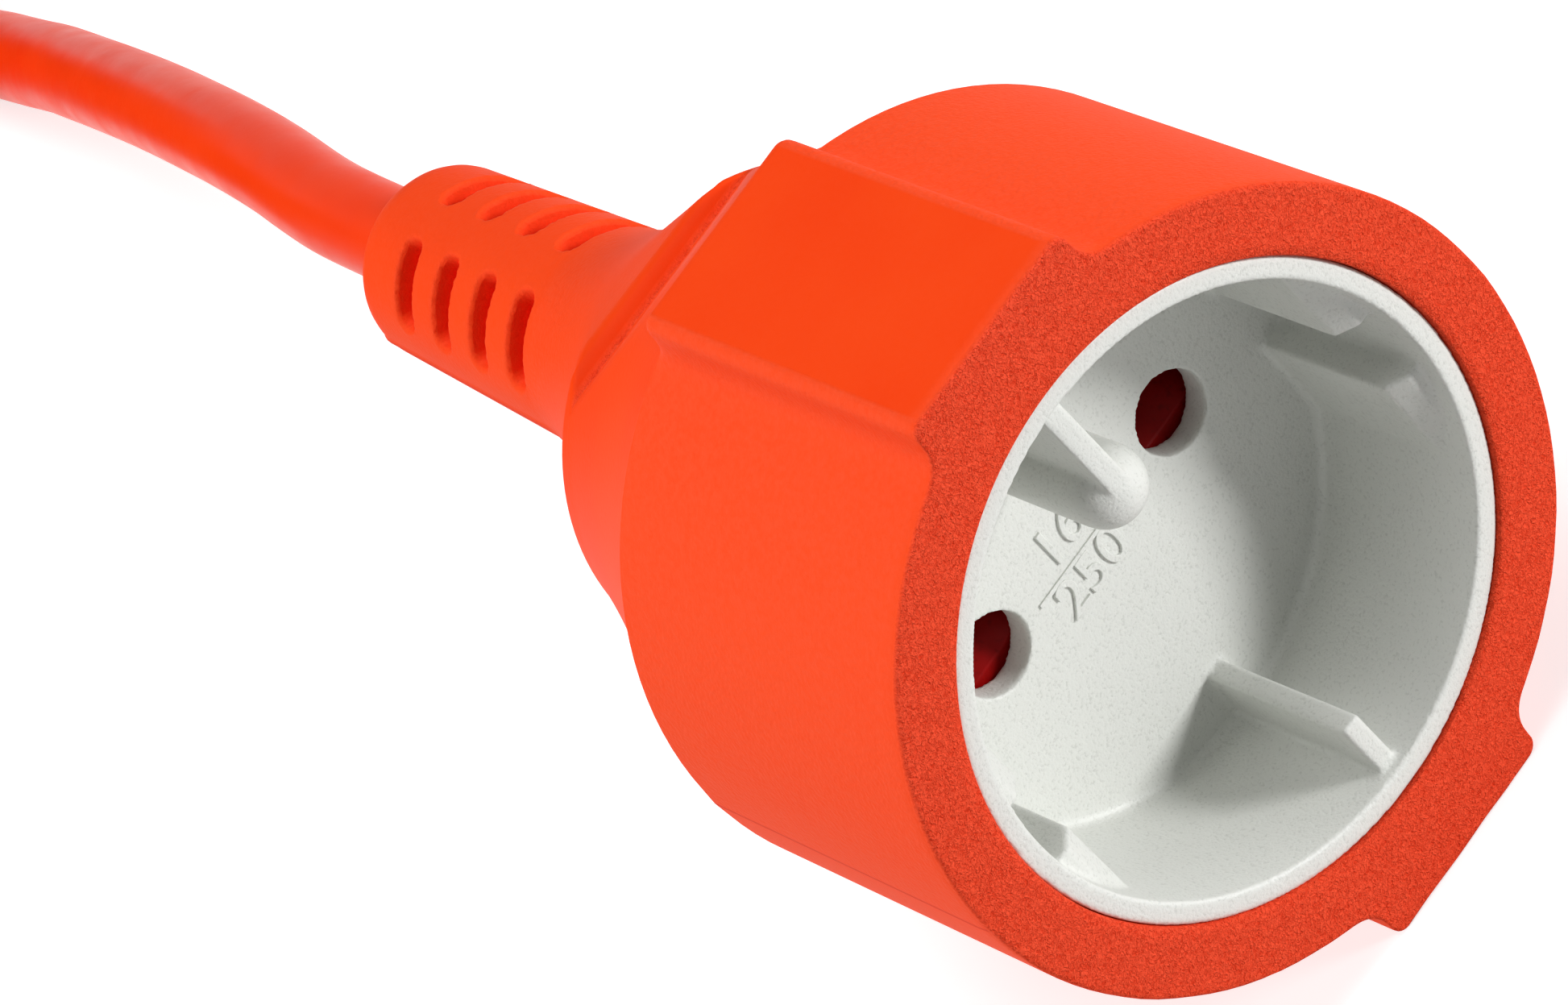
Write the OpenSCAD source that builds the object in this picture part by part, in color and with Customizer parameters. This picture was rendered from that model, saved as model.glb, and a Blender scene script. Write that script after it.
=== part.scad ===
// Extension cord: a moulded two-pole socket, its round cord wound into a tied coil, and its plug.
// X runs along the socket and out of its mouth, Z is up, and the lower flat pad lies on z = 0.
// Inside a socket or plug, a depth is measured backwards from the front face along its own axis.

/* [Socket body] */
// Length from the front face to the end of the strain relief
body_l = 89; // [88:1:110]
// Height over the two flat pads
body_h = 55.4; // [54:0.2:60]
// Diameter of the round barrel
barrel_d = 51.4; // [50:0.2:53]
// Length of the round barrel
barrel_l = 28.7; // [26:0.1:32]
// Width of a flat pad
pad_w = 15.2; // [10:0.2:22]
// How far a pad's rear face leans forward, from the barrel's end to the pad's edge
pad_set = 0.9; // [0.4:0.1:2]
// Rounding of the long edges of a pad
pad_edge_r = 1; // [0.4:0.1:1.3]
// Radius of the hollow along the foot of a pad
pad_foot_r = 1.2; // [0.6:0.1:2]
// Length of the shoulder between the barrel and the collar
shoulder_l = 19.2; // [17.5:0.1:21]
// How far the shoulder's outline sinks below a straight cone
shoulder_sag = 0.5; // [0:0.1:1]
// Diameter of the collar
collar_d = 33.2; // [32:0.2:36]
// Distance from the axis to the low end of a sloped flat
flat_h = 13.8; // [11:0.1:16]
// Length of the ramp that rises from the end of a sloped flat
ramp_l = 1; // [0.8:0.1:2]
// Height of that ramp
ramp_h = 1.2; // [0.8:0.1:1.8]
// Fall of the flare's flat behind the ramp, for each millimetre back
neck_flat_fall = 0.45; // [0.4:0.01:0.5]
// Distance from the axis to a sloped flat's plane at the end of the barrel
flat_front_h = 27; // [25.9:0.1:28]
// Length of the hollow flare behind the collar
flare_l = 18.5; // [16:0.1:19]

/* [Strain relief] */
// Angle by which the flare and the strain relief stand askew, to the neutral core's side
relief_tilt = 1.6; // [0:0.1:2]
// Diameter where the flare ends
relief_d = 15.3; // [14.5:0.1:17]
// Diameter at the free end
relief_end_d = 13.5; // [12.5:0.1:14]
// Rounding of the free end
relief_end_r = 2.6; // [0.4:0.1:2.8]
// Width of a flexing slot
slot_w = 1.8; // [1:0.1:2.4]
// Depth of a flexing slot
slot_depth = 2.3; // [1:0.1:2.5]
// Distance from one row of slots to the next
slot_pitch = 4.85; // [4:0.05:5.2]
// Distance from the flare to the middle of the first row
slot_set = 0.8; // [0.2:0.1:2]
// Least distance from the last row of slots to the free end
slot_end_set = 7; // [6:0.1:7.2]
// Angle from the pad's plane to the start of a slot
slot_start = 21; // [15:1:25]
// Angle that a slot spans
slot_span = 38; // [30:1:44]

/* [Insert] */
// Diameter of the insert
insert_d = 42.1; // [41.4:0.1:44]
// How far the insert's ring sits behind the front face
ring_set = 0.4; // [0:0.1:1]
// Diameter of the recess at its mouth
recess_d = 39.1; // [38.8:0.1:39.6]
// Diameter of the recess at its floor
recess_floor_d = 38.4; // [38:0.1:38.8]
// Depth of the recess
recess_depth = 14.7; // [14:0.1:17]
// Radius of the hollow between the wall and the floor
recess_foot_r = 0.6; // [0.3:0.1:1.4]
// Thickness of the floor
floor_t = 2.2; // [1.6:0.1:3]
// Distance between the two pins
pin_spacing = 19; // [18:0.1:20]
// Diameter of a pin hole
pin_hole_d = 5.6; // [5.1:0.1:6]
// Diameter of the polarity post
post_d = 5.4; // [4.6:0.1:5.8]
// Distance from the axis to the middle of the post
post_h = 10; // [9.6:0.1:11]
// How far the post's tip sits behind the ring
post_set = 1; // [0.4:0.1:3]
// Thickness of the web behind the post
web_t = 1.6; // [1:0.1:2.4]
// How far the web sits behind the ring
web_set = 1.2; // [0.6:0.1:3]
// Thickness of the lower rib
rib_t = 1.5; // [1:0.1:2.4]
// Distance from the axis to the lower rib's edge
rib_h = 15; // [14.4:0.1:17]
// How far the lower rib sits behind the ring
rib_set = 1; // [0.4:0.1:3]
// Distance between the faces of the two guide blocks
guide_gap = 33.7; // [33.4:0.1:35]
// Width of the groove that splits a guide block
guide_groove_w = 5.5; // [4:0.1:7]
// How far the guide blocks sit behind the ring
guide_set = 1.6; // [0.8:0.1:3]
// Slope cut off the front of a guide block
guide_slope = 1.3; // [0.4:0.1:1.6]

/* [Shutters] */
// Thickness of a shutter leaf
leaf_t = 2.8; // [2.2:0.1:3.4]
// Width of a shutter leaf
leaf_w = 26.8; // [25:0.1:27]
// Height of a shutter leaf
leaf_h = 5.4; // [4.6:0.1:5.8]
// Depth of the slope that a pin pushes against
leaf_slope = 2; // [1.4:0.1:2]
// How far a leaf slides
leaf_travel = 2.6; // [2.4:0.1:2.8]
// Free space round a leaf
leaf_gap = 0.2; // [0.1:0.05:0.4]
// Length of a return spring when the shutter is open
spring_pressed_l = 4.5; // [3.6:0.1:4.8]
// Outer diameter of a return spring
spring_d = 2.6; // [2:0.1:2.8]
// Diameter of the spring wire
spring_wire_d = 0.4; // [0.3:0.05:0.5]
// Curls of a return spring
spring_curls = 5; // [3:1:6]
// Distance between the two springs of a leaf
spring_spacing = 14; // [8:0.5:20]

/* [Contacts] */
// Thickness of the carrier's front plate
plate_t = 2.2; // [1.6:0.1:3]
// Length of the insert's skirt behind the carrier's plate
skirt_l = 1.6; // [1:0.1:3]
// Thickness of the insert's skirt
skirt_t = 1.6; // [1.2:0.1:2]
// Diameter of the carrier's housing
housing_d = 30; // [28:0.2:32]
// Length of the carrier's housing
housing_l = 15.5; // [14:0.1:17]
// Outer diameter of a sleeve contact
sleeve_d = 6.4; // [6:0.1:7]
// Bore of a sleeve contact
sleeve_bore_d = 4.9; // [4.8:0.05:5.2]
// Width of the slit that lets a sleeve spring
sleeve_slit_w = 0.8; // [0.4:0.1:1.2]
// Length of the slit that lets a sleeve spring
sleeve_slit_l = 11; // [6:0.5:12]
// Diameter of a crimp barrel
crimp_d = 3.8; // [3:0.1:4.4]
// Length of a crimp barrel
crimp_l = 8; // [6:0.1:8.5]
// Diameter of a bared wire end
wire_d = 1.3; // [1:0.05:1.6]
// Diameter of an insulated core
core_d = 2.4; // [2:0.1:2.5]

/* [Cord] */
// Diameter of the cord
cord_d = 6.8; // [6.4:0.1:7]
// Length of the cord between the socket and the plug
cord_l = 3000; // [2900:10:3200]
// Length of the sheath inside the socket
socket_sheath_l = 29; // [28:0.5:30]
// Length of the sheath inside the plug
plug_sheath_l = 26; // [24:0.5:27]
// Layers in the coil
layers = 6; // [4:2:6]
// Loops in one layer
layer_loops = 2; // [2:1:3]
// Free space between neighbouring loops
loop_gap = 0.5; // [0.45:0.05:0.7]
// Width of the strap round the coil
tie_w = 12; // [8:0.5:16]
// Thickness of the strap
tie_t = 0.8; // [0.5:0.1:1.2]
// Rounding inside the strap's corners
tie_corner_r = 3; // [1:0.1:3.2]
// Length of the strap's overlapping end
tie_tab_l = 16; // [8:0.5:18]

/* [Plug] */
// Length from the nose face to the end of the strain relief
plug_l = 60; // [58:0.5:70]
// Diameter of the nose
nose_d = 37.2; // [36.4:0.1:37.6]
// Width over the nose's side flats
nose_w = 32.8; // [31:0.1:33]
// Height over the plug's flats
nose_h = 26; // [22:0.1:28]
// Depth of the grip that keeps the nose's outline
grip_l = 20; // [18:0.5:23]
// Length of the hollow flare behind the grip
plug_flare_l = 18; // [16:0.5:20]
// Length of the notch for a polarity post
notch_l = 15; // [14.8:0.1:16]
// Width of the notch for a polarity post
notch_w = 6.2; // [6:0.1:7]
// Rounding of the nose's front edge
nose_edge_r = 1; // [0.4:0.1:1.6]
// Diameter of a pin
pin_d = 4.8; // [4.2:0.05:4.8]
// Diameter of a pin inside the bridge
pin_shank_d = 4; // [3.6:0.05:4.1]
// Length of a pin in front of the nose
pin_l = 19; // [18:0.1:19.2]
// Length of the slope at a pin's tip
pin_tip_l = 2; // [1:0.1:3]
// Width of the bridge that holds the pins
bridge_w = 28; // [26.5:0.1:29]
// Height of the bridge
bridge_h = 11.5; // [8:0.1:12]
// Depth of the bridge
bridge_l = 12; // [9:0.1:13]
// Diameter of the flange behind the bridge
pin_flange_d = 6.2; // [5.4:0.1:6.4]
// Thickness of the flange behind the bridge
pin_flange_t = 1.5; // [1:0.1:2]

/* [Hidden] */

// Side of the axis on which each pole lies
LINE = 1;
NEUTRAL = -1;

// Facets of a full turn, and clearances
facets = 72;
fit = 0.05;
overshoot = 1;
passage_gap = 0.25;
front_edge = 0.3;
barrel_draft = 0.1;
rim_step = 0.25;
collar_edge = 0.1;
neck_lap = 1;
passage_draw = 0.3;
passage_slack = 0.6;
crimp_wall_t = 1;
core_straight = 0.8;
tie_gap = 0.25;

// Steps along the shoulder and flare outlines, and along a quarter round
outline_steps = 9;
round_steps = 4;

// How sharply a flare's outline bends; 1 would be a straight cone
flare_bend = 1.65;

// Colours
orange = [0.97, 0.27, 0.08];
off_white = [0.88, 0.89, 0.88];
dark_red = [0.42, 0.02, 0.02];
grey = [0.3, 0.32, 0.34];
brass = [0.83, 0.66, 0.32];
nickel = [0.78, 0.77, 0.72];
copper = [0.8, 0.45, 0.25];
core_brown = [0.35, 0.2, 0.1];
core_blue = [0.1, 0.25, 0.6];
black = [0.08, 0.08, 0.09];
steel = [0.7, 0.71, 0.73];

// Socket: place of the axis and the depths of its parts
front_x = body_l / 2;
axis_z = body_h / 2;
collar_depth = barrel_l + shoulder_l;
crease_depth = collar_depth - ramp_l;
neck_front_r = collar_d / 2 - collar_edge;
flare_depth = collar_depth + flare_l;
relief_taper = (relief_d - relief_end_d) / 2 / (body_l - flare_depth);
slot_rows = 1 + floor((body_l - flare_depth - slot_set - slot_end_set) / slot_pitch);
floor_depth = ring_set + recess_depth;
pocket_depth = floor_depth + floor_t;
pocket_back = pocket_depth + leaf_t + 2 * leaf_gap;
plate_depth = pocket_back + fit;
housing_depth = plate_depth + plate_t;
skirt_back = housing_depth + skirt_l;
pocket_h = leaf_h + leaf_travel + spring_pressed_l;
housing_back = housing_depth + housing_l;
crimp_back = housing_back + crimp_l;
sheath_depth = body_l - socket_sheath_l;
pin_y = pin_spacing / 2;
skirt_r = insert_d / 2 - skirt_t;
wall_r = (recess_d + insert_d) / 4;
crimp_bore_l = crimp_l - crimp_wall_t;
leaf_part_z = fit;

// Plug: depths of its parts
plug_sheath_depth = plug_l - plug_sheath_l;
plug_flare_depth = grip_l + plug_flare_l;
flange_depth = bridge_l + fit;
plug_crimp_depth = flange_depth + pin_flange_t;
plug_crimp_back = plug_crimp_depth + crimp_bore_l;

// Cord: heights, coil and route
cord_r = cord_d / 2;
cord_sides = 12;
coil_sides = 6;
loop_rings = 24;
spring_sides = 6;
curl_rings = 8;
core_sides = 8;
core_rings = 7;
pitch = cord_d + loop_gap;
loops = layers * layer_loops;
first_layer_z = tie_t + tie_gap + cord_r;
lay_gap = 0.2;
climb_turns = 0.5;
plug_rise = cord_r + nose_h / 2 + lay_gap;

// Route of the lead: distance behind the socket, distance across it, and height as a share of
// the drop from the strain relief to the coil's first layer
lead_steps = [[0, 0, 1], [3, 0.12, 1], [7, 0.26, 0.995], [11, 0.45, 0.987], [14, 0.7, 0.977],
              [17, 1.09, 0.965], [23, 2.04, 0.93], [31, 3.11, 0.87], [40, 4.19, 0.78],
              [50, 5.39, 0.66], [60, 6.49, 0.53], [69, 7.49, 0.4], [77, 8.29, 0.29],
              [84, 8.79, 0.19], [91.5, 9.19, 0.1], [97, 9.44, 0.035], [102, 10.09, -0.005],
              [107.5, 11.59, -0.02], [113, 13.79, -0.018], [118.5, 16.19, -0.01],
              [124, 17.99, -0.003], [129, 18.79, 0], [133, 18.89, 0]];
neck_l = body_l - collar_depth;
exit = [front_x - collar_depth - neck_l * cos(relief_tilt), neck_l * sin(relief_tilt), axis_z];
lead_route = [for (s = lead_steps)
    [exit[0] - s[0], exit[1] + s[1], first_layer_z + s[2] * (axis_z - first_layer_z)]];

// Route of the tail from the coil's end: steps along and across, and height as a share of the
// rise to the plug, which lies on the coil
tail_steps = [[0, 0, 0], [-3, 0, 0], [-9.5, -1.3, 0.05], [-16.5, -4.4, 0.14], [-23.5, -9.5, 0.27],
              [-29.5, -16.5, 0.42], [-33.3, -24.5, 0.55], [-34.6, -33, 0.67],
              [-33, -41.5, 0.78], [-28.5, -49, 0.87], [-21.5, -54.8, 0.94],
              [-14, -57.8, 0.98], [-7, -58.6, 1], [-1, -58.6, 1]];
tail_offsets = [for (s = tail_steps) [s[0], s[1], s[2] * plug_rise]];

// The coil takes what is left of the cord's length, and its middle radius follows from that
coil_l = cord_l - path_length(lead_route) - path_length(tail_offsets);
coil_mid_r = (coil_l - 2 * cord_d) / (2 * PI * loops);
coil_in_r = coil_mid_r - pitch * layer_loops / 2;
coil_out_r = coil_mid_r + pitch * layer_loops / 2;
lead_end = lead_route[len(lead_route) - 1];
coil_centre = lead_end - [cord_d, coil_out_r, 0];
coil_path = concat([lead_end],
                   [for (k = [0:loops * loop_rings]) winding_point(k / loop_rings)],
                   [winding_point(loops) - [cord_d, 0, 0]]);
tail_start = coil_path[len(coil_path) - 1];
tail_route = [for (p = tail_offsets) tail_start + p];
tail_end = tail_route[len(tail_route) - 1];

function path_length(path) = len(path) < 2 ? 0 :
    sum([for (k = [1:len(path) - 1]) norm(path[k] - path[k - 1])]);
function sum(list) = list * [for (k = list) 1];
function unit(v) = v / norm(v);
function smooth(t) = let (u = min(1, max(0, t))) u * u * (3 - 2 * u);

// Winding after a number of turns: the radius runs in and out again, one layer each way
function winding_point(turn) =
    let (layer = turn / layer_loops,
         out = abs((layer % 2) - 1),
         r = coil_in_r + out * layer_loops * pitch,
         climbs = sum([for (n = [1:layers - 1])
                          smooth((turn - n * layer_loops) / climb_turns + 0.5)]),
         a = 90 + 360 * turn)
    coil_centre + [r * cos(a), r * sin(a), climbs * pitch];

// Least distance between points of a path that are at least half a loop apart
function least_distance(path, apart) =
    min([for (i = [0:len(path) - 1 - apart])
        min([for (j = [i + apart:len(path) - 1]) norm(path[j] - path[i])])]);

// Tube along a path, as triangles
function heading(path, k) =
    unit(path[min(k + 1, len(path) - 1)] - path[max(k - 1, 0)]);
function ring(centre, along, r, sides) =
    let (side = unit(cross(along, [0, 0, 1])), up = cross(side, along))
    [for (k = [0:sides - 1])
        centre + r * (cos(360 * k / sides) * side + sin(360 * k / sides) * up)];
function tube_points(path, r, sides) =
    [for (k = [0:len(path) - 1]) each ring(path[k], heading(path, k), r, sides)];
function tube_walls(rings, sides) =
    [for (k = [0:rings - 2], s = [0:sides - 1])
        let (a = k * sides + s, b = k * sides + (s + 1) % sides)
        each [[a, a + sides, b], [b, a + sides, b + sides]]];
function tube_caps(rings, sides) =
    let (last = (rings - 1) * sides)
    [for (s = [1:sides - 2]) each [[0, s, s + 1], [last, last + s + 1, last + s]]];

module tube(path, r, sides) {
    polyhedron(points = tube_points(path, r, sides),
               faces = concat(tube_walls(len(path), sides), tube_caps(len(path), sides)),
               convexity = 6);
}

// Outline helpers, as pairs of radius and depth
function sagging(r_front, r_back, front, back, sag) =
    [for (k = [0:outline_steps])
        let (t = k / outline_steps)
        [r_front + (r_back - r_front) * t - 4 * sag * t * (1 - t), front + (back - front) * t]];
function flaring(r_front, r_back, front, back) =
    [for (k = [0:outline_steps])
        let (t = k / outline_steps)
        [r_back + (r_front - r_back) * pow(1 - t, flare_bend), front + (back - front) * t]];
function end_round(r_end, depth, round_r) =
    [for (k = [0:round_steps])
        let (a = 90 * k / round_steps)
        [r_end - round_r * (1 - cos(a)), depth - round_r * (1 - sin(a))]];

// Solid of revolution about the X axis, from pairs of radius and depth
module turned(outline) {
    rotate([0, 90, 0]) rotate_extrude($fn = facets)
        polygon([for (p = outline) [p[0], -p[1]]]);
}

module rod(d, front, back) {
    translate([-back, 0, 0]) rotate([0, 90, 0]) cylinder(d = d, h = back - front, $fn = facets);
}

module box(front, back, y_low, y_high, z_low, z_high) {
    translate([-back, y_low, z_low]) cube([back - front, y_high - y_low, z_high - z_low]);
}

// Flat shape drawn across and up, carried from one depth to another
module carried(front, back) {
    translate([-back, 0, 0]) rotate([90, 0, 90]) linear_extrude(back - front) children();
}

module both_sides_up() {
    for (flip = [0, 1]) mirror([0, 0, flip]) children();
}

module both_sides_across() {
    for (flip = [0, 1]) mirror([0, flip, 0]) children();
}

// Turns the flare, the strain relief and what is in it about the collar
module askew() {
    translate([-collar_depth, 0, 0]) rotate([0, 0, -relief_tilt])
        translate([collar_depth, 0, 0]) children();
}

module in_socket() {
    translate([front_x, 0, axis_z]) children();
}

module in_plug() {
    translate([tail_end[0] + plug_l, tail_end[1], tail_end[2]]) children();
}

// Socket body -----------------------------------------------------------------------------------

module pad_outline() {
    half = pad_w / 2;
    foot_y = half + pad_foot_r;
    foot_z = sqrt(pow(barrel_d / 2, 2) - pow(foot_y, 2));
    translate([-half, 0]) square([pad_w, axis_z - pad_edge_r]);
    translate([-half + pad_edge_r, 0]) square([pad_w - 2 * pad_edge_r, axis_z]);
    for (side = [-1, 1]) {
        translate([side * (half - pad_edge_r), axis_z - pad_edge_r])
            circle(r = pad_edge_r, $fn = 32);
    }
    difference() {
        translate([-foot_y, foot_z - overshoot])
            square([2 * foot_y, pad_foot_r + overshoot]);
        for (side = [-1, 1]) {
            translate([side * foot_y, foot_z + pad_foot_r]) circle(r = pad_foot_r, $fn = 32);
        }
    }
}

// Cut that leans a pad's rear face, and cut that leaves a sloped flat on the shoulder
module pad_rear_cut() {
    rotate([90, 0, 0]) linear_extrude(2 * pad_w, center = true)
        polygon([[-barrel_l + pad_set, axis_z], [-barrel_l, barrel_d / 2],
                 [-barrel_l - overshoot, barrel_d / 2], [-barrel_l - overshoot, barrel_d],
                 [-barrel_l + pad_set, barrel_d]]);
}

module sloped_flat_cut() {
    neck_flat_h = flat_h + ramp_h;
    neck_flat_l = flare_l / 2;
    rotate([90, 0, 0]) linear_extrude(2 * barrel_d, center = true)
        polygon([[-barrel_l, flat_front_h], [-crease_depth, flat_h],
                 [-collar_depth, neck_flat_h],
                 [-collar_depth - neck_flat_l, neck_flat_h - neck_flat_l * neck_flat_fall],
                 [-collar_depth - neck_flat_l, barrel_d], [-barrel_l, barrel_d]]);
}

module slot_cut(depth) {
    deep_r = relief_d / 2 - slot_depth - (depth - flare_depth) * relief_taper;
    reach = relief_d;
    rotate([slot_start, 0, 0]) rotate([0, 90, 0])
        rotate_extrude(angle = slot_span, $fn = facets)
            translate([deep_r, -depth - slot_w / 2]) square([reach, slot_w]);
    for (a = [slot_start, slot_start + slot_span]) {
        rotate([a, 0, 0]) translate([-depth, 0, -deep_r - reach])
            cylinder(d = slot_w + 2 * fit, h = reach, $fn = 24);
    }
}

// Flat-sided hollow in which the two cores come together behind the crimps
module core_passage(widest_d, front, crimp_end, sheath_front) {
    half_h = cord_r + passage_gap;
    wide = pin_y + widest_d / 2 + passage_slack;
    narrow = half_h;
    translate([0, 0, -half_h]) linear_extrude(2 * half_h)
        polygon([[-front, -wide], [-front, wide], [-crimp_end, wide - passage_draw],
                 [-sheath_front - overshoot, narrow], [-sheath_front - overshoot, -narrow],
                 [-crimp_end, -wide + passage_draw]]);
}

module socket_body() {
    color(orange) in_socket() difference() {
        union() {
            turned(concat([[0, 0], [barrel_d / 2 - front_edge, 0], [barrel_d / 2, front_edge],
                           [barrel_d / 2 - barrel_draft, barrel_l]],
                          sagging(barrel_d / 2 - barrel_draft - rim_step, collar_d / 2,
                                  barrel_l, collar_depth, shoulder_sag),
                          [[0, collar_depth]]));
            askew() turned(concat([[0, collar_depth - neck_lap],
                                   [neck_front_r, collar_depth - neck_lap]],
                                  flaring(neck_front_r, relief_d / 2,
                                          collar_depth + collar_edge, flare_depth),
                                  end_round(relief_end_d / 2, body_l, relief_end_r),
                                  [[0, body_l]]));
            both_sides_up() carried(0, barrel_l) pad_outline();
        }
        both_sides_up() {
            pad_rear_cut();
            sloped_flat_cut();
        }
        rod(insert_d + 2 * fit, -overshoot, skirt_back + fit);
        rod(housing_d + 2 * fit, skirt_back - overshoot, housing_back + fit);
        core_passage(crimp_d, housing_back - overshoot, crimp_back, sheath_depth);
        askew() rod(cord_d + 2 * fit, sheath_depth - fit, body_l + overshoot);
        askew() both_sides_up() both_sides_across() {
            for (row = [0:slot_rows - 1]) slot_cut(flare_depth + slot_set + row * slot_pitch);
        }
    }
}

// Insert ----------------------------------------------------------------------------------------

module recess_space() {
    floor_r = recess_floor_d / 2;
    turned(concat([[0, -overshoot], [recess_d / 2, -overshoot], [recess_d / 2, ring_set]],
                  [for (k = [0:round_steps])
                      let (a = 90 * k / round_steps)
                      [floor_r - recess_foot_r * (1 - cos(a)),
                       floor_depth - recess_foot_r * (1 - sin(a))]],
                  [[0, floor_depth]]));
}

module post() {
    tip_depth = ring_set + post_set + post_d / 2;
    translate([0, 0, post_h]) {
        rod(post_d, tip_depth, floor_depth + overshoot);
        translate([-tip_depth, 0, 0]) sphere(d = post_d, $fn = 48);
    }
    box(ring_set + web_set, floor_depth + overshoot, -web_t / 2, web_t / 2, post_h, wall_r);
}

module lower_rib() {
    box(ring_set + rib_set, floor_depth + overshoot, -rib_t / 2, rib_t / 2, -wall_r, -rib_h);
}

// Two blocks that leave a flat-sided guide, split by a groove, with sloped front edges
module guide_blocks() {
    face_y = guide_gap / 2;
    top_depth = ring_set + guide_set;
    intersection() {
        rod(2 * wall_r, ring_set, floor_depth + overshoot);
        both_sides_across() difference() {
            linear_extrude(2 * face_y, center = true)
                polygon([[-floor_depth - overshoot, face_y], [-top_depth - guide_slope, face_y],
                         [-top_depth, face_y + guide_slope], [-top_depth, insert_d],
                         [-floor_depth - overshoot, insert_d]]);
            box(0, floor_depth, face_y - overshoot, insert_d,
                -guide_groove_w / 2, guide_groove_w / 2);
        }
    }
}

module socket_insert() {
    color(off_white) in_socket() difference() {
        union() {
            difference() {
                rod(insert_d, ring_set, skirt_back);
                recess_space();
            }
            post();
            lower_rib();
            guide_blocks();
        }
        both_sides_across() translate([0, pin_y, 0])
            rod(pin_hole_d, floor_depth - overshoot, pocket_depth + overshoot);
        box(pocket_depth, pocket_back + overshoot, -leaf_w / 2 - leaf_gap,
            leaf_w / 2 + leaf_gap, -pocket_h, pocket_h);
        rod(2 * skirt_r, pocket_back, skirt_back + overshoot);
    }
}

// Shutters --------------------------------------------------------------------------------------

// Leaf above the axis: its sloped edge meets the other leaf's in a shallow groove
module leaf() {
    front = pocket_depth + leaf_gap;
    back = front + leaf_t;
    rotate([90, 0, 0]) linear_extrude(leaf_w, center = true)
        polygon([[-front, leaf_part_z + leaf_slope], [-front, leaf_h], [-back, leaf_h],
                 [-back, leaf_part_z], [-front - leaf_slope, leaf_part_z]]);
}

module leaf_springs() {
    mid = pocket_depth + leaf_gap + leaf_t / 2;
    low = leaf_h + fit + spring_wire_d / 2;
    high = pocket_h - fit - spring_wire_d / 2;
    r = (spring_d - spring_wire_d) / 2;
    steps = spring_curls * curl_rings;
    for (side = [-1, 1]) {
        tube([for (k = [0:steps])
                 let (a = 360 * k / curl_rings)
                 [-mid + r * cos(a), side * spring_spacing / 2 + r * sin(a),
                  low + (high - low) * k / steps]],
             spring_wire_d / 2, spring_sides);
    }
}

module shutter_upper() {
    color(dark_red) in_socket() leaf();
}

module shutter_lower() {
    color(dark_red) in_socket() mirror([0, 0, 1]) leaf();
}

module shutter_springs_upper() {
    color(steel) in_socket() leaf_springs();
}

module shutter_springs_lower() {
    color(steel) in_socket() mirror([0, 0, 1]) leaf_springs();
}

// Contacts --------------------------------------------------------------------------------------

module contact_carrier() {
    color(grey) in_socket() difference() {
        union() {
            rod(2 * (skirt_r - fit), plate_depth, housing_depth);
            rod(housing_d, housing_depth - fit, housing_back);
        }
        both_sides_across() translate([0, pin_y, 0]) {
            rod(pin_hole_d, plate_depth - overshoot, housing_depth + overshoot);
            rod(sleeve_d + 2 * fit, housing_depth, housing_back + overshoot);
        }
    }
}

// Brass sleeve with two slits, closed at the back by a wall that carries the crimp barrel
module contact() {
    front = housing_depth + fit;
    difference() {
        union() {
            rod(sleeve_d, front, housing_back);
            rod(crimp_d, housing_back - crimp_wall_t, crimp_back);
        }
        rod(sleeve_bore_d, front - overshoot, housing_back - crimp_wall_t);
        box(front - overshoot, front + sleeve_slit_l, -sleeve_slit_w / 2, sleeve_slit_w / 2,
            -sleeve_d, sleeve_d);
        rod(wire_d + 2 * fit, crimp_back - crimp_bore_l, crimp_back + overshoot);
    }
}

module contact_line() {
    color(brass) in_socket() translate([0, LINE * pin_y, 0]) contact();
}

module contact_neutral() {
    color(brass) in_socket() translate([0, NEUTRAL * pin_y, 0]) contact();
}

module wire_ends(crimp_end) {
    both_sides_across() translate([0, pin_y, 0])
        rod(wire_d, crimp_end - crimp_bore_l + fit, crimp_end + fit);
}

// Core that runs back from a crimp and draws in to the middle of the cord
module core(side, crimp_end, sheath_front) {
    front = crimp_end + 2 * fit;
    back = sheath_front - fit;
    bend_l = back - front - 2 * core_straight;
    together_y = core_d / 2 + fit;
    tube(concat([[-front, side * pin_y, 0]],
                [for (k = [0:core_rings - 1])
                    let (t = k / (core_rings - 1))
                    [-front - core_straight - bend_l * t,
                     side * (pin_y + (together_y - pin_y) * smooth(t)), 0]],
                [[-back, side * together_y, 0]]),
         core_d / 2, core_sides);
}

module socket_wire_ends() {
    color(copper) in_socket() wire_ends(crimp_back);
}

module socket_core_line() {
    color(core_brown) in_socket() core(LINE, crimp_back, sheath_depth);
}

module socket_core_neutral() {
    color(core_blue) in_socket() core(NEUTRAL, crimp_back, sheath_depth);
}

module socket_cord_end() {
    color(orange) in_socket() askew() rod(cord_d, sheath_depth + 2 * fit, body_l);
}

// Free cord -------------------------------------------------------------------------------------

module cord_lead() {
    color(orange) tube(lead_route, cord_r, cord_sides);
}

module cord_coil() {
    gap = least_distance(coil_path, loop_rings / 2) - cord_d;
    echo(coil_gap_mm = gap, coil_length_mm = path_length(coil_path), coil_mid_r_mm = coil_mid_r);
    color(orange) tube(coil_path, cord_r, coil_sides);
}

module cord_tail() {
    color(orange) tube(tail_route, cord_r, cord_sides);
}

module rounded_outline(x_low, x_high, z_low, z_high, r) {
    translate([x_low + r, z_low]) square([x_high - x_low - 2 * r, z_high - z_low]);
    translate([x_low, z_low + r]) square([x_high - x_low, z_high - z_low - 2 * r]);
    for (x = [x_low + r, x_high - r], z = [z_low + r, z_high - r]) {
        translate([x, z]) circle(r = r, $fn = 32);
    }
}

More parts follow.
